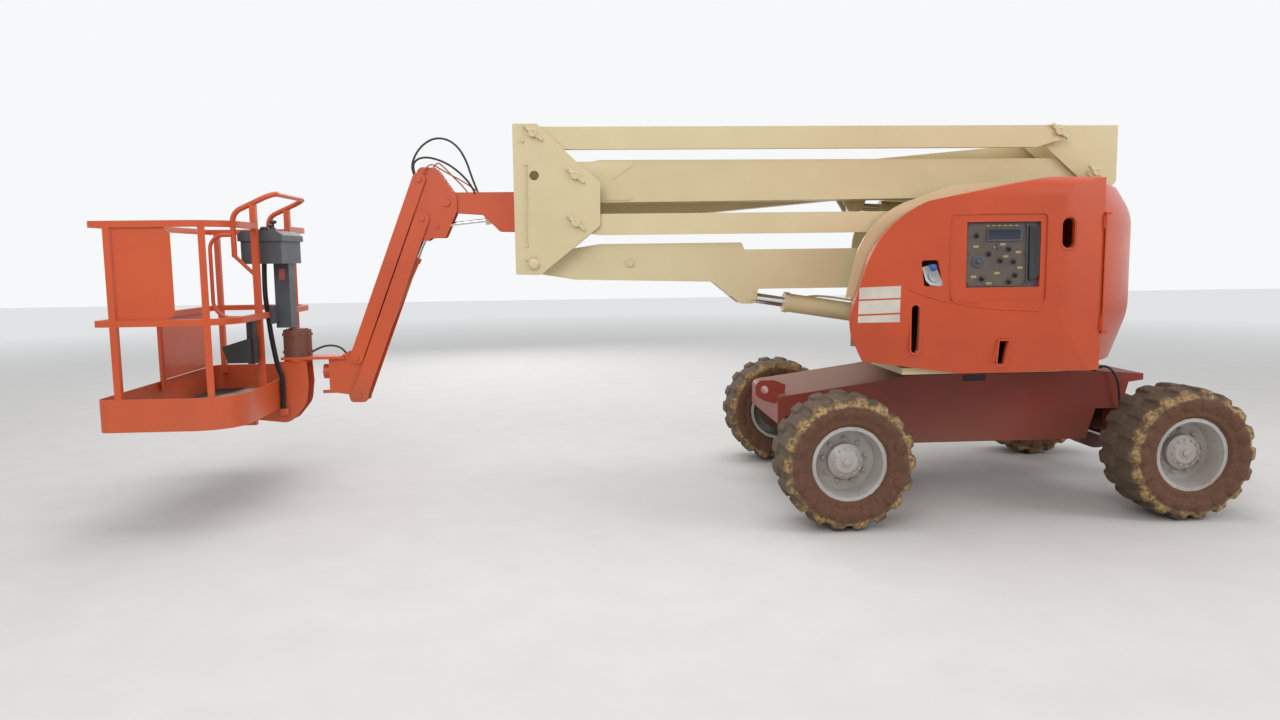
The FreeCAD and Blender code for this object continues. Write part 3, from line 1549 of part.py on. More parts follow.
def cylinder(label, foot, eye, y, sizes):
    """Barrel and rod; sizes are barrel radius, rod radius, pin radius, eye width, barrel length, travel inwards.

    The rod's eye holds its own length of the pin, which sits between the pin's ends on the far piece.
    """
    barrel_r, rod_r, pin_r, wide, long, inwards = sizes
    dx, dz = eye[0] - foot[0], eye[1] - foot[1]
    reach = square_root(dx * dx + dz * dz)
    eye_r = pin_r + 0.7 * pin_r
    tube = rod((eye_r - 6, 0, 0), "x", long - eye_r + 6, barrel_r)
    collar = rod((long - 34, 0, 0), "x", 34, barrel_r + 6)
    ring = rod((0, -wide / 2, 0), "y", wide, eye_r)
    hole = rod((0, -wide, 0), "y", wide * 2, pin_r + 0.3)
    bore = rod((eye_r + 40, 0, 0), "x", long, rod_r + 0.1)
    barrel = trim(join(tube, collar, ring), hole, bore)
    start = eye_r + 60 + inwards
    eye_bar = rod((reach, -wide / 2, 0), "y", wide, eye_r)
    plunger = join(rod((start, 0, 0), "x", reach - start, rod_r), eye_bar)
    for piece in (barrel, plunger):
        turn(piece, (0, 1, 0), lean_of(dx, dz))
        move(piece, (foot[0], y, foot[1]))
    node(barrel, label + "_barrel")
    node(plunger, label + "_rod")


def main_eye():
    """Where the main lift cylinder's eye sits at rest, from its place on the sloping boom."""
    lean = math.radians(s.main_slope.value)
    along = Size(math.cos(lean), "cos(sizes.main_slope * 1deg)")
    rise = Size(math.sin(lean), "sin(sizes.main_slope * 1deg)")
    x, z = s.centre_x + s.main_pin_x, s.main_pin_z
    return x + s.eye_along * along - s.eye_up * rise, z + s.eye_along * rise + s.eye_up * along


def jib_foot_place():
    lean = math.radians(s.jib_slope.value)
    along = Size(math.cos(lean), "cos(sizes.jib_slope * 1deg)")
    down = Size(math.sin(lean), "sin(sizes.jib_slope * 1deg)")
    x, z = s.centre_x + s.jib_pin_x, s.jib_pin_z
    return x - s.jib_foot * along - s.jib_foot_up * down, z - s.jib_foot * down + s.jib_foot_up * along


def cylinders():
    tower_y = lane(s.tower_near, s.tower_far)[0]
    cylinder("lower_lift", lift_foot(), lift_head(), tower_y, (62, 34, s.pin_radius, 90, 1490, 0))
    cylinder("main_lift", main_foot(), main_eye(), s.boom_y, (45, 27, s.pin_radius, 90, 1180, 0))
    cylinder("level", level_foot(), level_eye(), s.boom_y, (26, 13, Size.of(14), 50, 470, 200))
    cylinder("jib_lift", jib_foot_place(), jib_eye(), s.boom_y, (30, 16, Size.of(14), 54, 690, 0))


def build():
    for x, name, side, where in (
        (drive_x(), "rear", -1, "near"),
        (drive_x(), "rear", 1, "far"),
        (steer_x(), "front", -1, "near"),
        (steer_x(), "front", 1, "far"),
    ):
        tyre(f"tyre_{name}_{where}", x, side)
        rim(f"rim_{name}_{where}", x, side)
    drive_axle()
    steer_axle()
    knuckle("knuckle_near", -1)
    knuckle("knuckle_far", 1)
    steer_rod()
    chassis_frame()
    slew_bearing()
    turntable_base()
    counterweight()
    hood("hood_near", -1, near_window())
    hood("hood_far", 1, [])
    ground_controls()
    engine()
    tank()
    lower_boom()
    lower_link()
    top_link()
    mid_boom()
    front_upright()
    rear_upright()
    main_boom()
    fly_boom()
    head()
    jib_arm()
    jib_link()
    jib_support()
    toe_board()
    platform_deck()
    mount_frame()
    rails()
    panels()
    gate()
    console()
    console_column()
    document_box()
    cylinders()


def write():
    """Checks every object, then writes each node's shape to its own file."""
    doc.recompute()
    for thing in doc.Objects:
        if "Invalid" in thing.State or "Error" in thing.State:
            raise SystemExit(f"{thing.Name} {thing.Label} is {thing.State}")
    for thing in nodes:
        shape = thing.Shape
        if shape.isNull() or not shape.isValid():
            raise SystemExit(f"{thing.Label} has no valid shape")
    for thing in nodes:
        thing.Shape.exportStep(f"parts/{thing.Label}.step")
        print(thing.Label, len(thing.Shape.Solids), round(thing.Shape.Volume / 1e9, 4))


build()
write()
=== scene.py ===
import math

import bpy
from mathutils import Matrix, Vector


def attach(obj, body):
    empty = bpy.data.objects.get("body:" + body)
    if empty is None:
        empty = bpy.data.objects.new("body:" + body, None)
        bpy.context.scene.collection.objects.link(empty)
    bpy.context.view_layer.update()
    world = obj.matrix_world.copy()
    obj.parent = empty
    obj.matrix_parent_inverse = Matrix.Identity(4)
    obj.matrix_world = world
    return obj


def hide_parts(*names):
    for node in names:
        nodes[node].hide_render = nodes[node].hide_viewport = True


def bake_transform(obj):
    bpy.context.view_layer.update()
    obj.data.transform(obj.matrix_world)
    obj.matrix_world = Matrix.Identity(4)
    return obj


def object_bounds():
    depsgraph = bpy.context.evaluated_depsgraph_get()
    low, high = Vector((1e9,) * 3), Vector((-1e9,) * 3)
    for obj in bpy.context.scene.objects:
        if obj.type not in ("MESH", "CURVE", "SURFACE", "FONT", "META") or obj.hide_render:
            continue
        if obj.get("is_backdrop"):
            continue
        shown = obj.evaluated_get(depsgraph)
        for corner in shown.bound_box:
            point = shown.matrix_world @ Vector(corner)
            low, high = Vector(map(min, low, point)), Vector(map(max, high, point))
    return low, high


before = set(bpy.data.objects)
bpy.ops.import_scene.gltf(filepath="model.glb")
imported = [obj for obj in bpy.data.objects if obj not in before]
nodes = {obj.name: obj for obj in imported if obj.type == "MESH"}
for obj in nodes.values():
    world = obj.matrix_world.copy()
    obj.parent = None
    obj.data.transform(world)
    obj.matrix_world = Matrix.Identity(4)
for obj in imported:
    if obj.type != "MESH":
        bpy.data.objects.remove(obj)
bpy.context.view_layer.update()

# Camera. The machine is seen from its near side, at eye height, by a short lens 6.4 m from its
# middle line that looks a little down and a little towards the chassis.
CAMERA_PLACE = (-0.612, -6.383, 1.623)
CAMERA_LENS = 26.33
CAMERA_YAW = math.radians(3.742)
CAMERA_PITCH = math.radians(6.316)
CAMERA_ROLL = math.radians(0.72)

ahead = Vector((math.sin(CAMERA_YAW), math.cos(CAMERA_YAW), 0))
aside = Vector((math.cos(CAMERA_YAW), -math.sin(CAMERA_YAW), 0))
sight = ahead * math.cos(CAMERA_PITCH) - Vector((0, 0, math.sin(CAMERA_PITCH)))
above = Vector((0, 0, math.cos(CAMERA_PITCH))) + ahead * math.sin(CAMERA_PITCH)
right = aside * math.cos(CAMERA_ROLL) - above * math.sin(CAMERA_ROLL)
top = above * math.cos(CAMERA_ROLL) + aside * math.sin(CAMERA_ROLL)

bpy.ops.object.select_all(action="DESELECT")
bpy.ops.object.camera_add(location=CAMERA_PLACE)
camera = bpy.context.object
camera.name = "photo_camera"
camera.data.lens = CAMERA_LENS
camera.data.sensor_width = 36
camera.rotation_euler = Matrix((right, top, -sight)).transposed().to_euler()
bpy.context.scene.camera = camera
bpy.context.scene.view_settings.view_transform = "Standard"

# Studio floor. A plain pale ground that keeps the machine's shadow. It is 60 m wide and fades, for
# the camera alone, into a pale haze towards its edge.
HAZE_NEAR = 7.0
HAZE_FAR = 20.0


def tone(red, green, blue):
    """The colour of a paint chip, from screen values of 0 to 255."""
    return tuple(((v / 255 + 0.055) / 1.055) ** 2.4 if v > 10 else v / 255 / 12.92
                 for v in (red, green, blue)) + (1.0,)


class Socket:
    """A shader socket: arithmetic on it adds Math nodes, and node() adds any other node."""

    def __init__(self, tree, output=None):
        self.tree = tree
        self.output = output

    def node(self, kind, settings=None, values=None, give=0):
        """A new node: its settings are set first, then the values or links of its sockets."""
        made = self.tree.nodes.new("ShaderNode" + kind)
        for name, value in (settings or {}).items():
            setattr(made, name, value)
        for name, value in (values or {}).items():
            if isinstance(value, Socket):
                self.tree.links.new(value.output, made.inputs[name])
            else:
                made.inputs[name].default_value = value
        return Socket(self.tree, made.outputs[give] if made.outputs else None)

    def maths(self, operation, *values):
        return self.node("Math", {"operation": operation}, dict(enumerate(values)))

    def __add__(self, other):
        return self.maths("ADD", self, other)

    def __sub__(self, other):
        return self.maths("SUBTRACT", self, other)

    def __rsub__(self, other):
        return self.maths("SUBTRACT", other, self)

    def __mul__(self, other):
        return self.maths("MULTIPLY", self, other)

    def __pow__(self, other):
        return self.maths("POWER", self, other)

    def between(self, low, high):
        """0 at low and 1 at high, clamped, with a straight ramp between them, up or down."""
        return self.node("MapRange", {"clamp": True}, {0: self, 1: low, 2: high, 3: 0.0, 4: 1.0})

    def mixed(self, first, second):
        """The first colour where this is 0 and the second where it is 1."""
        return self.node("Mix", {"data_type": "RGBA"}, {0: self, 6: first, 7: second}, give=2)

    def noise(self, scale, detail=4.0, rough=0.55):
        return self.node("TexNoise", {}, {"Vector": self, "Scale": scale, "Detail": detail,
                                          "Roughness": rough})

    def stretched(self, scale):
        return self.node("Mapping", {}, {"Vector": self, "Scale": scale})

    def part(self, axis):
        return self.node("SeparateXYZ", {}, {0: self}, give="XYZ".index(axis))

    def bump(self, height, strength, distance):
        return self.node("Bump", {}, {"Height": height, "Strength": strength, "Distance": distance})


def begin(name):
    """A new empty material and the socket of a point's own place on the object, in metres."""
    material = bpy.data.materials.new(name)
    material.use_nodes = True
    material.node_tree.nodes.clear()
    return material, Socket(material.node_tree).node("TexCoord", give=3)


def close(material, values):
    """Ends a material in one Principled shader with these sockets."""
    start = Socket(material.node_tree)
    start.node("OutputMaterial", {}, {"Surface": start.node("BsdfPrincipled", {}, values)})
    return material


bpy.ops.mesh.primitive_plane_add(size=60, location=(0, 0, 0))
floor = bpy.context.object
floor.name = "studio_floor"
pale_floor, point = begin("pale_floor")
grain = point.noise(3.0, 6.0)
across_floor = point.part("X")
down_floor = point.part("Y")
far_off = (across_floor * across_floor + down_floor * down_floor) ** 0.5
distant = far_off.between(HAZE_NEAR, HAZE_FAR)
ground = point.node("BsdfPrincipled", {}, {
    "Base Color": grain.between(0.3, 0.7).mixed(tone(206, 204, 201), tone(211, 209, 206)),
    "Roughness": 0.9})
haze = point.node("Emission", {}, {"Color": tone(226, 227, 228), "Strength": 1.0})
point.node("OutputMaterial", {}, {"Surface": point.node("MixShader", {}, {
    0: distant * point.node("LightPath", give=0), 1: ground, 2: haze})})
floor.data.materials.append(pale_floor)
floor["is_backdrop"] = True

# Lamps and sky. Four wide round lamps, all aimed at the machine's middle, and a sky that fills the
# shadows and looks nearly white to the camera and in what the metal reflects.
LIT_POINT = Vector((0, 0, 1.0))
SKY_LIGHT = {"Color": (0.95, 0.97, 1.0, 1.0), "Strength": 0.56}
SKY_SEEN = {"Color": (0.93, 0.94, 0.95, 1.0), "Strength": 1.0}
for name, place, size, power in (
    ("lamp_front", (-3.0, -9.0, 6.5), 6.0, 380),
    ("lamp_tail", (8.5, -5.5, 5.0), 4.0, 220),
    ("lamp_top", (0.0, 0.5, 8.0), 8.0, 300),
    ("lamp_far", (-2.0, 9.0, 5.0), 6.0, 260),
):
    bpy.ops.object.light_add(type="AREA", location=place)
    lamp = bpy.context.object
    lamp.name = name
    lamp.data.shape = "DISK"
    lamp.data.size = size
    lamp.data.energy = power
    lamp.rotation_euler = (LIT_POINT - Vector(place)).to_track_quat("-Z", "Y").to_euler()

sky = bpy.data.worlds.new("studio_sky")
bpy.context.scene.world = sky
sky.use_nodes = True
sky.node_tree.nodes.clear()
air = Socket(sky.node_tree)
camera_ray = air.node("LightPath", give=0)
glossy_ray = air.node("LightPath", give=3)
air.node("OutputWorld", {}, {"Surface": air.node("MixShader", {}, {
    0: camera_ray.maths("MAXIMUM", camera_ray, glossy_ray),
    1: air.node("Background", {}, SKY_LIGHT),
    2: air.node("Background", {}, SKY_SEEN)})})


# Chassis. Welded steel plate, sprayed red-orange long ago: darker and duller than the hoods,
# rubbed to undercoat here and there, and dusty on its top faces and towards the ground.
def dress(finish, *names):
    """Gives CAD nodes their finish."""
    for name in names:
        nodes[name].data.materials.clear()
        nodes[name].data.materials.append(finish)


def sprayed(name, colour, worn, dust, gloss, dirt_top=0.9, wear=0.62, film=0.12):
    """Old paint in two shades with orange peel. gloss is its roughness where it is clean, dirt_top
    the height at which dust begins, wear how rare the rubbed spots are, film the dust on top."""
    material, point = begin(name)
    cloud = point.noise(1.7, 5.0)
    spots = point.noise(23.0, 8.0, 0.7)
    fine = point.noise(160.0, 3.0)
    up = point.node("NewGeometry", give=1).part("Z").between(0.55, 1.0)
    low = point.part("Z").between(dirt_top, 0.35) * cloud.between(0.25, 0.75)
    shade = cloud.between(0.3, 0.72).mixed(colour, worn)
    rubbed = spots.between(wear, wear + 0.09)
    shade = (rubbed * 0.45).mixed(shade, tone(96, 74, 60))
    dusty = low.maths("MAXIMUM", low * 0.75, up * (cloud * 0.5 + film))
    shade = dusty.mixed(shade, dust)
    return close(material, {
        "Base Color": shade,
        "Roughness": dusty * 0.35 + (rubbed * 0.2 + (cloud * 0.12 + gloss)),
        "Coat Weight": (1.0 - dusty) * 0.14,
        "Coat Roughness": 0.12,
        "Normal": point.bump(fine + spots * 0.6, 0.25, 0.0015)})


DUST = tone(124, 98, 78)
chassis_paint = sprayed("chassis_paint", tone(138, 42, 28), tone(118, 38, 28), DUST, 0.46, film=0.5)
axle_paint = sprayed("axle_paint", tone(96, 56, 44), tone(70, 44, 36), tone(110, 80, 60), 0.6, 1.4,
                     0.5)
dress(chassis_paint, "chassis_frame")
dress(axle_paint, "drive_axle", "steer_axle", "knuckle_near", "knuckle_far")


# Slew bearing and cylinder rods. A rolled steel ring under a film of oil and dust, and rods that
# are ground and hard-chromed, so they stay bright where their seals wipe them.
def metal(name, colour, stained, rough, stain=0.55):
    """Bare metal with a film of oil and dust in patches."""
    material, point = begin(name)
    film = point.noise(14.0, 6.0, 0.65)
    streak = point.stretched((30.0, 30.0, 400.0)).noise(1.0, 3.0)
    mark = film.between(stain, stain + 0.2)
    return close(material, {
        "Base Color": mark.mixed(colour, stained),
        "Metallic": 1.0 - mark * 0.7,
        "Roughness": mark * 0.35 + (streak * 0.1 + rough),
        "Normal": point.bump(streak, 0.06, 0.0008)})


bare_steel = metal("bare_steel", tone(120, 116, 110), tone(92, 72, 56), 0.42, 0.45)
chrome = metal("chrome_rod", tone(214, 214, 216), tone(120, 100, 84), 0.12, 0.62)
dress(bare_steel, "slew_bearing")
dress(chrome, "steer_rod", "lower_lift_rod", "main_lift_rod", "level_rod", "jib_lift_rod")


# Hoods and counterweight. Moulded panels and a cast block, hinged and bolted to the turntable, and
# sprayed a glossy orange-red that the sun has bleached in places.
hood_paint = sprayed("hood_paint", tone(196, 74, 28), tone(180, 64, 26), tone(184, 108, 78), 0.27,
                     1.0, 0.72)
dress(hood_paint, "hood_near", "hood_far", "counterweight")

# Tower, main boom and turntable. Box beams and plates welded from steel sheet, pinned to each
# other, and sprayed in thick cream paint over every bolt head.
boom_cream = sprayed("boom_cream", tone(214, 199, 158), tone(204, 187, 146), tone(176, 154, 118),
                     0.36, 1.0, 0.76)
dress(boom_cream, "turntable_base", "lower_boom", "lower_link", "top_link", "mid_boom",
      "front_upright", "rear_upright", "main_boom", "lower_lift_barrel", "main_lift_barrel",
      "level_barrel")

# Pin keepers on the tower's plates. Cast bars, bolted over the pin ends and sprayed over with the
# plates, so that they look like one lump with two ears.
NEARWARD = (0, -1, 0)
NEAR_PLATE = -0.370
REAR_PLATE = -0.340
KEEPER_THICK = 0.013
SMOOTH_UNDER = math.radians(35)
KEEPER_BOSS = ((0.0275, 0), (0.0275, 0.016), (0.024, 0.019), (0.014, 0.019), (0.012, 0.015))
KEEPER_BOLT = ((0.011, 0), (0.011, 0.019), (0.008, 0.021))
PIN_HEAD = ((0.036, 0), (0.036, 0.004), (0.030, 0.007), (0.029, 0.015), (0.024, 0.018),
            (0.012, 0.0185))
KEEPER = ((-0.060, 0.034), (-0.052, 0.050), (-0.036, 0.050), (-0.016, 0.028), (0.012, 0.020),
          (0.030, -0.008), (0.060, -0.036), (0.058, -0.050), (0.046, -0.050), (0.018, -0.028),
          (-0.010, -0.020), (-0.028, 0.008))


def settled():
    """Puts the selected pieces' place, turn and size into their meshes."""
    bpy.ops.object.transform_apply(location=True, rotation=True, scale=True)


def finished(piece, kind, **settings):
    """Gives the active piece a modifier with these settings, and applies it."""
    bpy.ops.object.modifier_add(type=kind)
    for key, value in settings.items():
        setattr(piece.modifiers[-1], key, value)
    bpy.ops.object.modifier_apply(modifier=piece.modifiers[-1].name)


def turned(name, profile, place, aim=NEARWARD, sides=32, filled=True):
    """A turned piece: a disc or ring drawn out along its axis by pairs of radius and height."""
    bpy.ops.object.select_all(action="DESELECT")
    bpy.ops.mesh.primitive_circle_add(vertices=sides, radius=profile[0][0],
                                      fill_type="NGON" if filled else "NOTHING",
                                      location=(0, 0, profile[0][1]))
    piece = bpy.context.object
    piece.name = name
    settled()
    bpy.ops.object.mode_set(mode="EDIT")
    for (radius, height), (wider, higher) in zip(profile, profile[1:]):
        bpy.ops.mesh.extrude_region_move(TRANSFORM_OT_translate={"value": (0, 0, higher - height)})
        bpy.ops.transform.resize(value=(wider / radius, wider / radius, 1),
                                 center_override=(0, 0, higher))
    bpy.ops.mesh.select_all(action="SELECT")
    bpy.ops.mesh.remove_doubles(threshold=0.00005)
    bpy.ops.mesh.normals_make_consistent(inside=False)
    bpy.ops.object.mode_set(mode="OBJECT")
    piece.rotation_euler = Vector(aim).to_track_quat("Z", "Y").to_euler()
    piece.location = place
    settled()
    bpy.ops.object.shade_smooth_by_angle(angle=SMOOTH_UNDER)
    return piece


def outlined(name, corners, depth):
    """A flat face with corners in X and Z at a depth in Y, selected and open in edit mode."""
    bpy.ops.object.select_all(action="DESELECT")
    bpy.ops.mesh.primitive_circle_add(vertices=len(corners), radius=1, fill_type="NGON",
                                      location=(0, 0, 0))
    piece = bpy.context.object
    piece.name = name
    for vertex, (x, z) in zip(piece.data.vertices, corners):
        vertex.co = (x, depth, z)
    bpy.ops.object.mode_set(mode="EDIT")
    bpy.ops.mesh.select_all(action="SELECT")
    return piece


def eased(piece, edge, segments, smooth_under):
    """Ends a piece open in edit mode: its faces point outwards and its edges are rounded."""
    bpy.ops.mesh.select_all(action="SELECT")
    bpy.ops.mesh.normals_make_consistent(inside=False)
    bpy.ops.object.mode_set(mode="OBJECT")
    finished(piece, "BEVEL", width=edge, segments=segments)
    bpy.ops.object.shade_smooth_by_angle(angle=smooth_under)
    return piece


def cut_plate(name, corners, near, thick, edge=0.002, dish=None):
    """A plate cut to corners in X and Z and laid across Y with rounded edges. dish, where it is
    given, is the width of the rim that stays and how far the face inside it lies back."""
    piece = outlined(name, corners, near + thick)
    bpy.ops.mesh.extrude_region_move(TRANSFORM_OT_translate={"value": (0, -thick, 0)})
    if dish:
        bpy.ops.mesh.inset(thickness=dish[0])
        bpy.ops.transform.translate(value=(0, dish[1], 0))
    return eased(piece, edge, 2, SMOOTH_UNDER)


def joined(name, pieces):
    """Several pieces of one material made into one object."""
    bpy.ops.object.select_all(action="DESELECT")
    for piece in pieces:
        piece.select_set(True)
    bpy.context.view_layer.objects.active = pieces[0]
    bpy.ops.object.join()
    pieces[0].name = name
    return pieces[0]


def coated(piece, finish):
    """Gives a piece its finish and slot."""
    piece.data.materials.clear()
    piece.data.materials.append(finish)


def carried(piece, body, finish):
    """Gives a piece its finish and slot, and the body that it rides on."""
    coated(piece, finish)
    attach(piece, body)


def keeper(x, z, near):
    """A keeper bar with its boss and two bolt heads over a pin."""
    outline = [(x + dx, z + dz) for dx, dz in KEEPER]
    bar = cut_plate("keeper", outline, near - KEEPER_THICK, KEEPER_THICK, 0.003)
    boss = turned("boss", KEEPER_BOSS, (x, near, z))
    heads = [turned("bolt", KEEPER_BOLT, (x + dx, near, z + dz), NEARWARD, 6)
             for dx, dz in ((-0.047, 0.040), (0.049, -0.041))]
    return [bar, boss] + heads


front_fittings = []
for x, z in ((-0.875, 2.402), (-0.615, 2.138), (-0.615, 1.841)):
    front_fittings += keeper(x, z, NEAR_PLATE)
front_fittings.append(turned("pin_head", PIN_HEAD, (-0.886, NEAR_PLATE, 1.583), NEARWARD, 40))
for x, z, across in ((-0.940, 2.352, 0.011), (-0.925, 2.206, 0.010), (-0.926, 1.700, 0.009),
                     (-0.935, 1.612, 0.008), (-0.880, 1.630, 0.008)):
    front_fittings.append(turned("stud", ((across, 0), (across, 0.005), (across * 0.7, 0.008)),
                                 (x, NEAR_PLATE, z), NEARWARD, 16))


def picked(piece):
    """Selects one piece alone and makes it the active one."""
    bpy.ops.object.select_all(action="DESELECT")
    piece.select_set(True)
    bpy.context.view_layer.objects.active = piece


def smooth_line(name, points, steps):
    """A smooth line with these control points, as a curve that has no thickness yet."""
    made = bpy.data.curves.new(name, "CURVE")
    made.dimensions = "3D"
    made.resolution_u = steps
    run = made.splines.new("NURBS")
    run.points.add(len(points) - 1)
    for knot, point in zip(run.points, points):
        knot.co = tuple(point) + (1.0,)
    run.order_u = 3
    run.use_endpoint_u = True
    line = bpy.data.objects.new(name, made)
    bpy.context.collection.objects.link(line)
    return line


def thickened(line, radius, rounds):
    """Gives a line its round thickness and closed ends, and makes it a mesh."""
    line.data.bevel_depth = radius
    line.data.bevel_resolution = rounds
    line.data.use_fill_caps = True
    picked(line)
    bpy.ops.object.convert(target="MESH")
    bpy.ops.object.shade_smooth()
    return bpy.context.object


def bead(name, points, radius):
    """A weld bead, pipe or pressed line along a smooth line of control points."""
    return thickened(smooth_line(name, points, 6), radius, 3)


front_fittings.append(bead("weld", ((-0.915, NEAR_PLATE, 2.190), (-0.921, NEAR_PLATE, 1.960),
                                    (-0.927, NEAR_PLATE, 1.720)), 0.0035))
carried(joined("front_pin_keepers", front_fittings), "front_upright", boom_cream)
rear_fittings = []
for x, z in ((2.545, 2.402), (2.805, 2.138)):
    rear_fittings += keeper(x, z, REAR_PLATE)
carried(joined("rear_pin_keepers", rear_fittings), "rear_upright", boom_cream)

# Middle boom's doubler. A fish-tailed steel plate, 6 mm thick, welded over the boom's front end
# against the pin's pull, and sprayed with it.
DOUBLER_FACE = -0.2505
FISH_TAIL = ((-0.640, 1.990), (-0.460, 1.984), (-0.262, 1.984), (-0.232, 2.006), (-0.372, 2.115),
             (-0.228, 2.216), (-0.240, 2.236), (-0.640, 2.232))
doubler = cut_plate("fish_tail", FISH_TAIL, DOUBLER_FACE, 0.006, 0.0025)
carried(doubler, "mid_boom", boom_cream)

# Lower boom's bosses. The turned steel ends of its cross pins, welded in, each with a small
# greasing hole, and sprayed with the boom.
BOSS_FACE = -0.252
lower_bosses = [
    turned("boss", ((0.024, 0), (0.024, 0.006), (0.019, 0.010), (0.009, 0.010), (0.007, 0.006)),
           (x, BOSS_FACE, z))
    for x, z in ((-0.268, 1.579), (0.547, 1.351))]
carried(joined("lower_boom_bosses", lower_bosses), "lower_boom", boom_cream)

# Lift cylinder's pipe. A bent steel pipe, clipped along the near side of the barrel and sprayed
# with it, that feeds the far end.
PIPE_OFF = -0.145
PIPE_RUN = ((0.900, 1.330), (0.960, 1.352), (1.200, 1.318), (1.500, 1.270), (1.620, 1.250))
lift_pipe = bead("lift_pipe", [(x, PIPE_OFF, z) for x, z in PIPE_RUN], 0.007)
carried(lift_pipe, "lower_lift_barrel", boom_cream)

# Platform, jib and fly boom. Welded steel tube, plate and box beam, sprayed the hoods' orange,
# which has faded and gone chalky on the rails. The rotator is a casting, brown with old dirt.
platform_orange = sprayed("platform_orange", tone(206, 84, 34), tone(188, 72, 32),
                          tone(158, 106, 80), 0.34, 1.0, 0.66)
dress(platform_orange, "fly_boom", "head", "jib_arm", "jib_link", "jib_support", "toe_board",
      "mount_frame", "rails", "rail_panels", "gate", "jib_lift_barrel")
rotator_brown = sprayed("rotator_brown", tone(120, 66, 48), tone(88, 56, 44), tone(120, 88, 66),
                        0.5, 1.2, 0.5)
dress(rotator_brown, "rotator")


# Plastics and the engine. Grained black and grey mouldings, dusty on top: the document box, tank,
# console and control boxes. The engine's block is dark cast iron with oil on it.
def moulded(name, colour, dust, rough):
    """Grained plastic with dust on its top faces."""
    material, point = begin(name)
    grain = point.noise(420.0, 2.0)
    cloud = point.noise(9.0, 5.0)
    up = point.node("NewGeometry", give=1).part("Z").between(0.4, 1.0)
    film = up * (cloud * 0.7 + 0.15)
    shade = cloud.between(0.3, 0.7).mixed(colour, tuple(v * 0.8 for v in colour))
    return close(material, {
        "Base Color": film.mixed(shade, dust),
        "Roughness": film * 0.3 + (cloud * 0.15 + rough),
        "Normal": point.bump(grain, 0.18, 0.0006)})


black_plastic = moulded("black_plastic", tone(38, 38, 40), tone(120, 108, 96), 0.45)
console_grey = moulded("console_grey", tone(76, 80, 84), tone(136, 130, 120), 0.42)
engine_iron = metal("engine_iron", tone(60, 60, 62), tone(44, 36, 30), 0.55, 0.4)
dress(black_plastic, "document_box", "tank")
dress(console_grey, "console", "ground_controls", "console_column")
dress(engine_iron, "engine_block")


# Chassis inspection slot. An opening in the near plate, filled with a thin dark plate that is a
# little dished: its black is painted shade, for the shaded inside of the opening.
def oblong(left, low, right, high):
    """The corners of a rectangle."""
    return (left, low), (right, low), (right, high), (left, high)


SLOT_FACE = -0.4535
# The dark plate in the slot is painted shade.
slot_painted_shade = cut_plate("chassis_slot_painted_shade", oblong(1.893, 0.785, 2.048, 0.823), SLOT_FACE, 0.004, 0.001,
                       (0.004, 0.0025))
carried(slot_painted_shade, "chassis", black_plastic)


# Ground controls, behind the window of the near hood: a grained plate with a gauge glass, covered
# switches, a key and a round dial, all under dust, and a rubber door folded back on its right.
FACE = -1.045
HOOD_FACE = -1.075
panel_dust = moulded("panel_dust", tone(92, 82, 74), tone(150, 132, 112), 0.62)
gauge_glass = moulded("gauge_glass", tone(38, 44, 58), tone(96, 92, 90), 0.16)
latch_zinc = metal("latch_zinc", tone(168, 168, 170), tone(110, 96, 84), 0.3)
cap_blue = moulded("cap_blue", tone(44, 92, 168), tone(110, 130, 160), 0.25)
key_yellow = moulded("key_yellow", tone(170, 150, 104), tone(150, 132, 104), 0.5)
blank_white = moulded("blank_white", tone(206, 198, 186), tone(170, 158, 142), 0.4)

SCREW = ((0.006, 0), (0.006, 0.003), (0.004, 0.0045))
plate = cut_plate("panel_plate", ((1.644, 1.422), (2.010, 1.422), (2.004, 1.792), (1.648, 1.792)),
                  FACE - 0.004, 0.006, 0.0015, (0.006, 0.0015))
screws = [turned("screw", SCREW, (x, FACE - 0.003, z), NEARWARD, 16)
          for x in (1.660, 1.992) for z in (1.438, 1.612, 1.778)]
carried(joined("panel_plate", [plate] + screws), "hood_near", panel_dust)

bezel = cut_plate("gauge_bezel", oblong(1.764, 1.686, 1.972, 1.760), FACE - 0.012, 0.010, 0.002,
                  (0.008, 0.005))
carried(bezel, "hood_near", console_grey)
glass = cut_plate("gauge_glass", oblong(1.773, 1.695, 1.963, 1.751), FACE - 0.0085, 0.003, 0.0008,
                  (0.002, 0.0004))
carried(glass, "hood_near", gauge_glass)

BOOT = ((0.017, 0), (0.017, 0.004), (0.013, 0.006), (0.010, 0.012), (0.006, 0.018), (0.0055, 0.026),
        (0.0035, 0.028))
toggles = [turned("boot", BOOT, (x, FACE - 0.002, z), (0, -1, 0.12), 20)
           for x, z in ((1.702, 1.719), (1.896, 1.640), (1.777, 1.613), (1.927, 1.567),
                        (1.847, 1.574), (1.938, 1.489), (1.902, 1.451), (1.739, 1.470))]
carried(joined("switch_boots", toggles), "hood_near", black_plastic)

MARK_FACE = FACE - 0.005
marks = [cut_plate("mark", oblong(x - 0.016, z - 0.007, x + 0.016, z + 0.007), MARK_FACE, 0.002,
                   0.0006, (0.003, 0.0006))
         for x, z in ((1.860, 1.666), (1.822, 1.650), (1.700, 1.655), (1.880, 1.596),
                      (1.782, 1.441), (1.830, 1.500), (1.690, 1.480), (1.968, 1.530),
                      (1.955, 1.620))]
for step in range(6):
    x = 1.758 + step * 0.034
    marks.append(cut_plate("mark", oblong(x, 1.771, x + 0.022, 1.778), MARK_FACE, 0.002, 0.0006,
                           (0.002, 0.0005)))
carried(joined("blank_tags", marks), "hood_near", key_yellow)

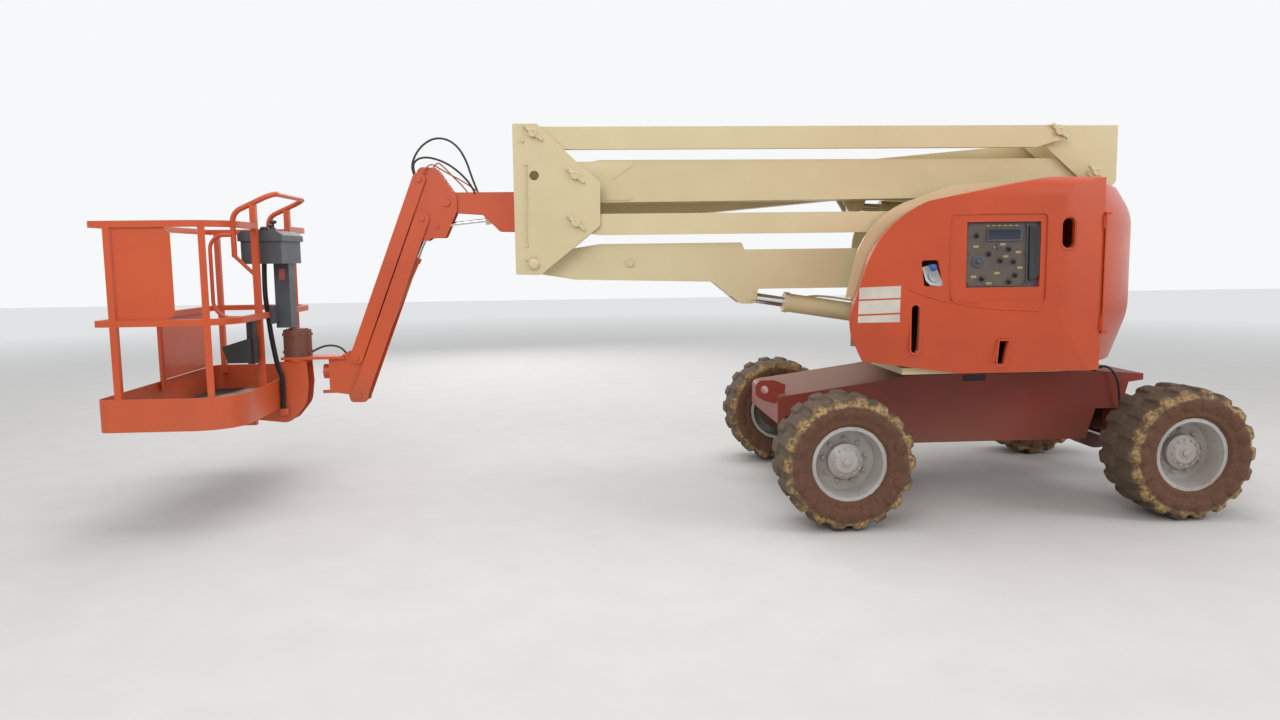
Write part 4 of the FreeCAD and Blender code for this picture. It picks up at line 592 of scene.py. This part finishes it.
LIFT_DIAL = ((0.036, 0), (0.036, 0.005), (0.032, 0.007), (0.026, 0.007), (0.025, 0.005),
             (0.013, 0.005), (0.012, 0.016), (0.009, 0.018))
dial = turned("lift_dial", LIFT_DIAL, (1.715, FACE - 0.003, 1.568), NEARWARD, 40)
key = cut_plate("key", ((1.820, 1.640), (1.834, 1.640), (1.836, 1.664), (1.818, 1.664)),
                FACE - 0.022, 0.018, 0.003)
carried(joined("dial_and_key", [dial, key]), "hood_near", console_grey)

PANEL_DOOR = ((2.012, 1.458), (2.052, 1.458), (2.070, 1.478), (2.0745, 1.500), (2.0745, 1.726),
              (2.066, 1.752), (2.046, 1.772), (2.008, 1.774))
door = cut_plate("panel_door", PANEL_DOOR, HOOD_FACE + 0.002, 0.028, 0.005, (0.010, 0.002))
bar = cut_plate("hinge_bar", ((2.000, 1.440), (2.0105, 1.440), (2.007, 1.786), (1.997, 1.786)),
                FACE - 0.016, 0.014, 0.003)
carried(door, "hood_near", black_plastic)
carried(bar, "hood_near", console_grey)

# Near hood's fittings. A chromed flush latch with a blue cap over its key, and a blank placard of
# three strips, riveted and glued to the moulding.
LATCH = ((1.372, 1.540), (1.412, 1.552), (1.462, 1.528), (1.502, 1.442), (1.488, 1.428),
         (1.424, 1.434), (1.396, 1.462))
PADDLE = ((1.412, 1.520), (1.452, 1.502), (1.474, 1.462), (1.462, 1.452), (1.432, 1.456),
          (1.412, 1.480))
KEY_CAP = ((0.021, 0), (0.021, 0.006), (0.018, 0.010), (0.012, 0.012), (0.011, 0.022),
           (0.007, 0.025))
latch = cut_plate("hood_latch", LATCH, HOOD_FACE - 0.001, 0.012, 0.002, (0.013, 0.006))
paddle = cut_plate("paddle", PADDLE, HOOD_FACE - 0.001, 0.014, 0.003, (0.006, 0.002))
carried(joined("hood_latch", [latch, paddle]), "hood_near", latch_zinc)
cap = turned("key_cap", KEY_CAP, (1.441, HOOD_FACE + 0.005, 1.536), (0, -1, 0.1))
tag = cut_plate("cap_tag", ((1.408, 1.541), (1.424, 1.544), (1.424, 1.556), (1.408, 1.552)),
                HOOD_FACE - 0.006, 0.004)
carried(joined("key_cap", [cap, tag]), "hood_near", cap_blue)

strips = []
for corners in (((1.005, 1.360), (1.250, 1.366), (1.251, 1.435), (1.011, 1.428), (1.006, 1.418)),
                ((1.001, 1.274), (1.248, 1.280), (1.249, 1.357), (1.004, 1.351)),
                ((1.000, 1.225), (1.247, 1.225), (1.248, 1.270), (1.001, 1.264))):
    strips.append(cut_plate("strip", corners, HOOD_FACE - 0.0012, 0.0025, 0.0008, (0.004, 0.0004)))
carried(joined("blank_placard", strips), "hood_near", blank_white)


# Pressed lines and lips of the near hood. The step round the controls, the long curved line under
# them and the lips round its three slots, all moulded with the hood in the same plastic.
def lip_round(name, corners, wide, proud):
    """A moulded lip round an opening: its outline inset, cleared in the middle and extruded."""
    root = 0.004
    piece = outlined(name, corners, HOOD_FACE + root)
    bpy.ops.mesh.inset(thickness=wide)
    bpy.ops.mesh.delete(type="FACE")
    bpy.ops.mesh.select_all(action="SELECT")
    bpy.ops.mesh.extrude_region_move(TRANSFORM_OT_translate={"value": (0, -root - proud, 0)})
    return eased(piece, 0.002, 3, math.radians(40))


def stadium(x, low, high, half):
    """The outline of an upright slot with round ends."""
    turn = [math.pi * step / 10 for step in range(11)]
    return ([(x + half * math.cos(a), high - half + half * math.sin(a)) for a in turn]
            + [(x - half * math.cos(a), low + half - half * math.sin(a)) for a in turn])


creases = [
    bead("crease", ((1.300, HOOD_FACE, 1.418), (1.372, HOOD_FACE, 1.384), (1.480, HOOD_FACE, 1.352),
                    (1.620, HOOD_FACE, 1.322), (1.780, HOOD_FACE, 1.298), (1.940, HOOD_FACE, 1.284),
                    (2.078, HOOD_FACE, 1.279)), 0.005),
    bead("crease", ((2.076, HOOD_FACE, 1.279), (2.098, HOOD_FACE, 1.300), (2.118, HOOD_FACE, 1.330),
                    (2.119, HOOD_FACE, 1.500), (2.118, HOOD_FACE, 1.800), (2.112, HOOD_FACE, 1.845),
                    (2.060, HOOD_FACE, 1.846), (1.700, HOOD_FACE, 1.846)), 0.004),
    bead("crease", ((1.552, HOOD_FACE, 1.800), (1.538, HOOD_FACE, 1.770), (1.537, HOOD_FACE, 1.560),
                    (1.540, HOOD_FACE, 1.400), (1.556, HOOD_FACE, 1.342), (1.600, HOOD_FACE, 1.334),
                    (1.700, HOOD_FACE, 1.333)), 0.004)]
carried(joined("hood_creases", creases), "hood_near", hood_paint)

lips = [lip_round("lip", stadium(1.3410, 1.030, 1.333, 0.034), 0.011, 0.001),
        lip_round("lip", stadium(2.2430, 1.625, 1.830, 0.052), 0.010, 0.002),
        lip_round("lip", ((1.826, 0.953), (1.900, 0.953), (1.916, 1.114), (1.838, 1.114)), 0.010,
                  0.001)]
carried(joined("hood_lips", lips), "hood_near", hood_paint)


# Hoses at the boom's nose. Rubber hydraulic hoses and orange control cables leave the fly boom's
# end, rise in open loops and drop to the cheeks of the head, which turns under them.
def hose(name, points, diameter):
    """A round hose along a smooth line: the mesh, and the points of the line that it follows."""
    line = smooth_line(name, points, 8)
    middle = bpy.data.meshes.new_from_object(line)
    route = [vertex.co.copy() for vertex in middle.vertices]
    return thickened(line, diameter / 2, 4), route


def along(route):
    """The length of a line through its points, in metres."""
    return sum((after - before).length for before, after in zip(route, route[1:]))


hose_black = moulded("hose_black", tone(34, 32, 32), tone(96, 84, 74), 0.4)
cable_orange = moulded("cable_orange", tone(176, 74, 46), tone(160, 110, 84), 0.45)
NOSE_HOSES = {
    "nose_hose_long": (0.014, hose_black, "black_plastic", (
        (-1.684, 0.105, 2.165), (-1.716, 0.105, 2.225), (-1.690, 0.105, 2.310),
        (-1.640, 0.105, 2.380), (-1.560, 0.105, 2.430), (-1.470, 0.105, 2.425),
        (-1.395, 0.100, 2.370), (-1.345, 0.100, 2.280), (-1.318, 0.100, 2.190),
        (-1.290, 0.100, 2.110), (-1.270, 0.100, 2.060))),
    "nose_hose_low": (0.014, hose_black, "black_plastic", (
        (-1.680, 0.070, 2.175), (-1.702, 0.070, 2.240), (-1.668, 0.070, 2.290),
        (-1.600, 0.070, 2.302), (-1.515, 0.072, 2.280), (-1.440, 0.075, 2.240),
        (-1.370, 0.075, 2.180), (-1.315, 0.075, 2.115), (-1.290, 0.075, 2.060))),
    "nose_cable_near": (0.009, cable_orange, "platform_orange", (
        (-1.625, 0.030, 2.190), (-1.590, 0.048, 2.266), (-1.520, 0.085, 2.225),
        (-1.440, 0.088, 2.178), (-1.350, 0.088, 2.130), (-1.262, 0.088, 2.062))),
    "nose_cable_far": (0.009, cable_orange, "platform_orange", (
        (-1.605, 0.214, 2.200), (-1.560, 0.190, 2.290), (-1.500, 0.140, 2.240),
        (-1.430, 0.135, 2.165), (-1.370, 0.130, 2.105), (-1.340, 0.130, 2.060))),
}
for name, (across, finish, slot, points) in NOSE_HOSES.items():
    piece, route = hose(name, points, across)
    coated(piece, finish)
    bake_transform(piece)
    along(route)


# Rotator's bolts. Two rings of hexagon heads round the turning drive hold its flanges, and a ring
# on top holds the cap; all as brown with old dirt as the casting.
UPWARD = (0, 0, 1)
DRIVE = (-2.527, 0.130)
FLANGES = (1.004, 1.124)
DRIVE_TOP = 1.155
DRIVE_CAP = ((0.046, -0.003), (0.046, 0.006), (0.040, 0.010), (0.016, 0.012), (0.012, 0.018))
BOLTS_ROUND = 10
drive_bolts = []
for turn in range(BOLTS_ROUND):
    angle = math.tau * turn / BOLTS_ROUND + 0.2
    out = Vector((math.cos(angle), math.sin(angle), 0))
    for high in FLANGES:
        drive_bolts.append(turned("bolt", ((0.010, -0.004), (0.010, 0.006), (0.007, 0.008)),
                                  Vector((*DRIVE, high)) + out * 0.091, out, 6))
    drive_bolts.append(turned("bolt", ((0.009, -0.003), (0.009, 0.006), (0.006, 0.008)),
                              Vector((*DRIVE, DRIVE_TOP)) + out * 0.066, UPWARD, 6))
drive_bolts.append(turned("cap", DRIVE_CAP, (*DRIVE, DRIVE_TOP), UPWARD, 40))
carried(joined("rotator_bolts", drive_bolts), "jib_support", rotator_brown)


# Platform floor. Punched steel sheet: rows of round holes, painted dark for the shade under the
# floor, and bare metal between patches of pale mud.
def punched():
    """Sheet steel with staggered round holes, painted dark as the shade seen through them, and mud
    between them.
    """
    material, point = begin("punched_steel")
    cell = point.stretched((42.0, 42.0, 0.0)).node(
        "TexVoronoi", {"feature": "F1"}, {"Scale": 1.0, "Randomness": 0.0}, give=0)
    row = point.noise(6.0, 5.0)
    # The holes' near-black colour is painted shade: the shaded space under the floor, seen through
    # them.
    hole_painted_dark = 1.0 - cell.between(0.26, 0.32)
    mud = row.between(0.36, 0.6)
    sheet = mud.mixed(tone(126, 118, 108), tone(170, 158, 136))
    return close(material, {
        "Base Color": hole_painted_dark.mixed(sheet, tone(34, 28, 26)),
        "Metallic": (1.0 - mud) * 0.4,
        "Roughness": mud * 0.3 + 0.5,
        "Normal": point.bump(1.0 - hole_painted_dark, 0.8, 0.003)})


dress(punched(), "platform_deck")

# Platform console's controls. Two black joysticks with rubber boots behind the lid, a row of
# toggle switches and a cover, screwed to its top, and a blank red tag on its side.
SWITCH = ((0.012, -0.004), (0.012, 0.004), (0.009, 0.006), (0.0045, 0.008), (0.004, 0.024),
          (0.002, 0.026))
JOYSTICK_FOOT = ((0.030, -0.004), (0.030, 0.004), (0.024, 0.010), (0.019, 0.012))
JOYSTICK_GRIP = ((0.016, 0.020), (0.0075, 0.026), (0.0075, 0.046), (0.021, 0.050), (0.025, 0.058),
                 (0.021, 0.068), (0.008, 0.071))
sticks = []
for x, y, tall in ((-2.583, -0.085, 1.0), (-2.700, 0.235, 0.8)):
    grip = tuple((radius, height * tall) for radius, height in JOYSTICK_GRIP)
    sticks.append(turned("joystick", JOYSTICK_FOOT + grip, (x, y, 1.816), UPWARD))
for step in range(6):
    place = (-2.735 + 0.012 * (step % 2), -0.06 + step * 0.045, 1.812)
    sticks.append(turned("switch", SWITCH, place, (0.1, 0, 1), 16))
sticks.append(turned("cover", ((0.026, -0.004), (0.026, 0.022), (0.020, 0.030), (0.008, 0.032)),
                     (-2.640, -0.085, 1.814), UPWARD, 24))
carried(joined("console_controls", sticks), "platform", black_plastic)

BLANK_TAG = ((-2.566, 1.500), (-2.528, 1.500), (-2.528, 1.566), (-2.556, 1.572), (-2.566, 1.560))
tag_red = moulded("tag_red", tone(150, 62, 56), tone(150, 120, 104), 0.4)
tag_plate = cut_plate("blank_tag", BLANK_TAG, -0.075, 0.003, 0.001, (0.004, 0.0006))
carried(tag_plate, "platform", tag_red)


# Harness and hoses. Rubber leads run from the console down the post and out over the toe board to
# the drive, and one feeds the steering: each is held at both ends and hangs a little between.
def led(name, body, points, across, finish):
    """A hose on one body, both of its ends in the machine."""
    piece, route = hose(name, points, across)
    carried(piece, body, finish)
    along(route)


HARNESS = ((-2.652, -0.020, 1.612), (-2.664, -0.012, 1.440), (-2.652, -0.004, 1.275),
           (-2.640, 0.006, 1.114), (-2.622, 0.012, 0.985), (-2.610, 0.018, 0.905),
           (-2.592, 0.024, 0.868), (-2.590, 0.026, 0.800), (-2.592, 0.028, 0.700),
           (-2.596, 0.028, 0.612))
for name, (dx, dy, low), across in (("harness_front", (-0.010, -0.001, 0.0), 0.012),
                                    ("harness_middle", (-0.021, 0.0, -0.004), 0.012),
                                    ("harness_rear", (-0.031, 0.0, -0.010), 0.012),
                                    ("harness_thin", (-0.018, -0.012, 0.006), 0.010)):
    points = tuple((x + dx, y + dy, z + (low if index else 0))
                   for index, (x, y, z) in enumerate(HARNESS))
    led(name, "platform", points, across, hose_black)

CLAMP = ((-2.626, 0.586), (-2.582, 0.586), (-2.578, 0.592), (-2.578, 0.624), (-2.582, 0.630),
         (-2.626, 0.630), (-2.630, 0.624), (-2.630, 0.592))
strap = cut_plate("harness_clamp", CLAMP, 0.004, 0.045, 0.003, (0.008, -0.002))
stud = turned("bolt", ((0.008, 0), (0.008, 0.004), (0.006, 0.006)), (-2.604, 0.003, 0.608),
              NEARWARD, 6)
carried(joined("harness_clamp", [strap, stud]), "platform", platform_orange)

STEERING_HOSE = ((2.790, -0.420, 0.826), (2.820, -0.455, 0.866), (2.872, -0.478, 0.862),
                 (2.918, -0.488, 0.800), (2.938, -0.490, 0.720), (2.950, -0.480, 0.620),
                 (2.975, -0.460, 0.530), (3.005, -0.450, 0.480))
JIB_HOSE = ((-2.440, 0.150, 1.000), (-2.405, 0.160, 1.020), (-2.350, 0.165, 1.040),
            (-2.285, 0.165, 1.040), (-2.225, 0.160, 1.012), (-2.195, 0.150, 0.960))
led("steering_hose", "chassis", STEERING_HOSE, 0.016, hose_black)
led("jib_hose", "jib_support", JIB_HOSE, 0.014, hose_black)


# Rims. Pressed steel discs, sprayed silver: nine lug nuts hold each to its hub, a ring of small
# bolts and a twelve-sided plug close the hub, and dust lies low down and on top faces.
AXLE_WIDE = 0.963
WHEEL_HIGH = 0.404
MIDDLE = 1.988
HALF_BASE = 1.040
WHEELS = {"rear_near": (MIDDLE - HALF_BASE, -1), "rear_far": (MIDDLE - HALF_BASE, 1),
          "front_near": (MIDDLE + HALF_BASE, -1), "front_far": (MIDDLE + HALF_BASE, 1)}
rim_silver = sprayed("rim_silver", tone(194, 193, 190), tone(176, 173, 168), tone(134, 116, 100),
                     0.26, 0.75, 0.58)


def twin(piece):
    """A copy of a piece with its own mesh."""
    other = piece.copy()
    other.data = piece.data.copy()
    bpy.context.collection.objects.link(other)
    return other


def ringed(name, piece, count, first=0.0):
    """Copies of a piece round the Z axis joined into one, which is turned by first, in degrees."""
    parts = [piece]
    for turn in range(1, count):
        other = twin(piece)
        other.rotation_euler = (0, 0, math.tau * turn / count)
        parts.append(other)
    whole = joined(name, parts)
    whole.rotation_euler = (0, 0, math.radians(first))
    settled()
    return whole


def on_wheel(piece, name, x, side):
    """A copy of a piece made round the Z axis, set on a wheel with its +Z side outwards."""
    other = twin(piece)
    other.name = name
    picked(other)
    other.rotation_euler = (-side * math.pi / 2, 0, 0)
    other.location = (x, side * AXLE_WIDE, WHEEL_HIGH)
    settled()
    return other


NUT = ((0.016, 0.028), (0.016, 0.034), (0.0135, 0.036), (0.0135, 0.048), (0.009, 0.051),
       (0.008, 0.058), (0.006, 0.060))
PLUG = ((0.040, 0.098), (0.040, 0.1015), (0.036, 0.103), (0.022, 0.103), (0.022, 0.112),
        (0.019, 0.114))
LIP = ((0.2105, 0.146), (0.222, 0.150), (0.2275, 0.153), (0.2265, 0.158), (0.218, 0.157),
       (0.208, 0.152), (0.2025, 0.143), (0.1990, 0.134), (0.1965, 0.120), (0.1995, 0.120),
       (0.2105, 0.146))
nuts = ringed("nuts", turned("nut", NUT, (0.130, 0, 0), UPWARD, 6), 9, 12)
bolt = turned("bolt", ((0.0075, 0.098), (0.0075, 0.104), (0.006, 0.106)), (0.081, 0, 0), UPWARD, 6)
bolts = ringed("bolts", bolt, 12, 4)
plug = turned("plug", PLUG, (0, 0, 0), UPWARD, 12)
lip = turned("lip", LIP, (0, 0, 0), UPWARD, 72, False)
fittings = joined("rim_fittings", [nuts, bolts, plug, lip])
for end, (x, side) in WHEELS.items():
    dress(rim_silver, f"rim_{end}")
    carried(on_wheel(fittings, f"rim_fittings_{end}", x, side), f"wheel_{end}", rim_silver)
bpy.data.objects.remove(fittings)


# Tyres. Solid rubber, moulded with deep cross lugs over each shoulder and ridges round the side
# wall and pressed on the rims. Clay lies dry on the shoulders and dust on the tread.
def caked_rubber():
    """Rubber, coloured by distance from the axle: brown wall, clay on the shoulder, dusty tread."""
    material, point = begin("tyre_rubber")
    away = point.part("X") - MIDDLE
    along = away.maths("ABSOLUTE", away) - HALF_BASE
    up = point.part("Z") - WHEEL_HIGH
    cloud = point.noise(9.0, 6.0, 0.6)
    clods = point.noise(46.0, 8.0, 0.72)
    radius = (along * along + up * up) ** 0.5 + (cloud - 0.5) * 0.03
    across = point.part("Y")
    edge = across.maths("ABSOLUTE", across) - AXLE_WIDE
    outer = edge.maths("ABSOLUTE", edge).between(0.150, 0.185)
    wall = clods.between(0.35, 0.65).mixed(tone(86, 57, 42), tone(106, 73, 54))
    tread = clods.between(0.35, 0.7).mixed(tone(76, 62, 50), tone(106, 88, 70))
    clay = clods.between(0.4, 0.62).mixed(tone(112, 84, 54), tone(186, 156, 104))
    shade = radius.between(0.330, 0.352).mixed(wall, tread)
    caked = (radius.between(0.338, 0.352) * outer
             * cloud.between(0.36, 0.5) * clods.between(0.34, 0.46))
    return close(material, {
        "Base Color": caked.mixed(shade, clay),
        "Roughness": cloud * 0.1 + 0.86,
        "Normal": point.bump(clods + point.noise(210.0, 3.0) * 0.4, 0.7, 0.004)})


WALL = ((0.214, 0.150), (0.222, 0.163), (0.233, 0.176), (0.239, 0.186), (0.245, 0.187),
        (0.250, 0.182), (0.268, 0.185), (0.290, 0.190), (0.304, 0.191), (0.310, 0.197),
        (0.317, 0.197), (0.323, 0.191), (0.344, 0.186), (0.362, 0.176), (0.374, 0.158),
        (0.380, 0.120), (0.383, 0.060), (0.384, 0.0))
LUG = ((0.014, 0.350), (0.014, 0.401), (0.120, 0.4005), (0.168, 0.395), (0.190, 0.372),
       (0.203, 0.338), (0.203, 0.300), (0.193, 0.276), (0.165, 0.276))
LUGS_ROUND = 18
VOXEL = 0.0065
tyre_rubber = caked_rubber()
there = WALL + tuple((radius, -height) for radius, height in reversed(WALL[:-1]))
carcass = turned("carcass", there + (WALL[0],), (0, 0, 0), UPWARD, 144, False)
lug = cut_plate("lug", [(radius, height) for height, radius in LUG], -0.038, 0.076, 0.008)
low_lugs = ringed("lugs", lug, LUGS_ROUND)
high_lugs = twin(low_lugs)
high_lugs.rotation_euler = (math.pi, 0, math.radians(180 / LUGS_ROUND))
tyre = joined("tyre", [carcass, low_lugs, high_lugs])
settled()
finished(tyre, "REMESH", mode="VOXEL", voxel_size=VOXEL)
finished(tyre, "SMOOTH", iterations=9, factor=0.5)
clods = bpy.data.textures.new("clods", "CLOUDS")
clods.noise_scale = 0.035
clods.noise_depth = 3
finished(tyre, "DISPLACE", texture=clods, strength=0.006, mid_level=0.62)
bpy.ops.object.shade_smooth()
for end, (x, side) in WHEELS.items():
    rubber = on_wheel(tyre, f"tyre_rubber_{end}", x, side)
    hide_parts(f"tyre_{end}")
    carried(rubber, f"wheel_{end}", tyre_rubber)
    dress(tyre_rubber, f"tyre_{end}")
bpy.data.objects.remove(tyre)

# Sizes. The box round the finished model, without the floor.
low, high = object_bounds()
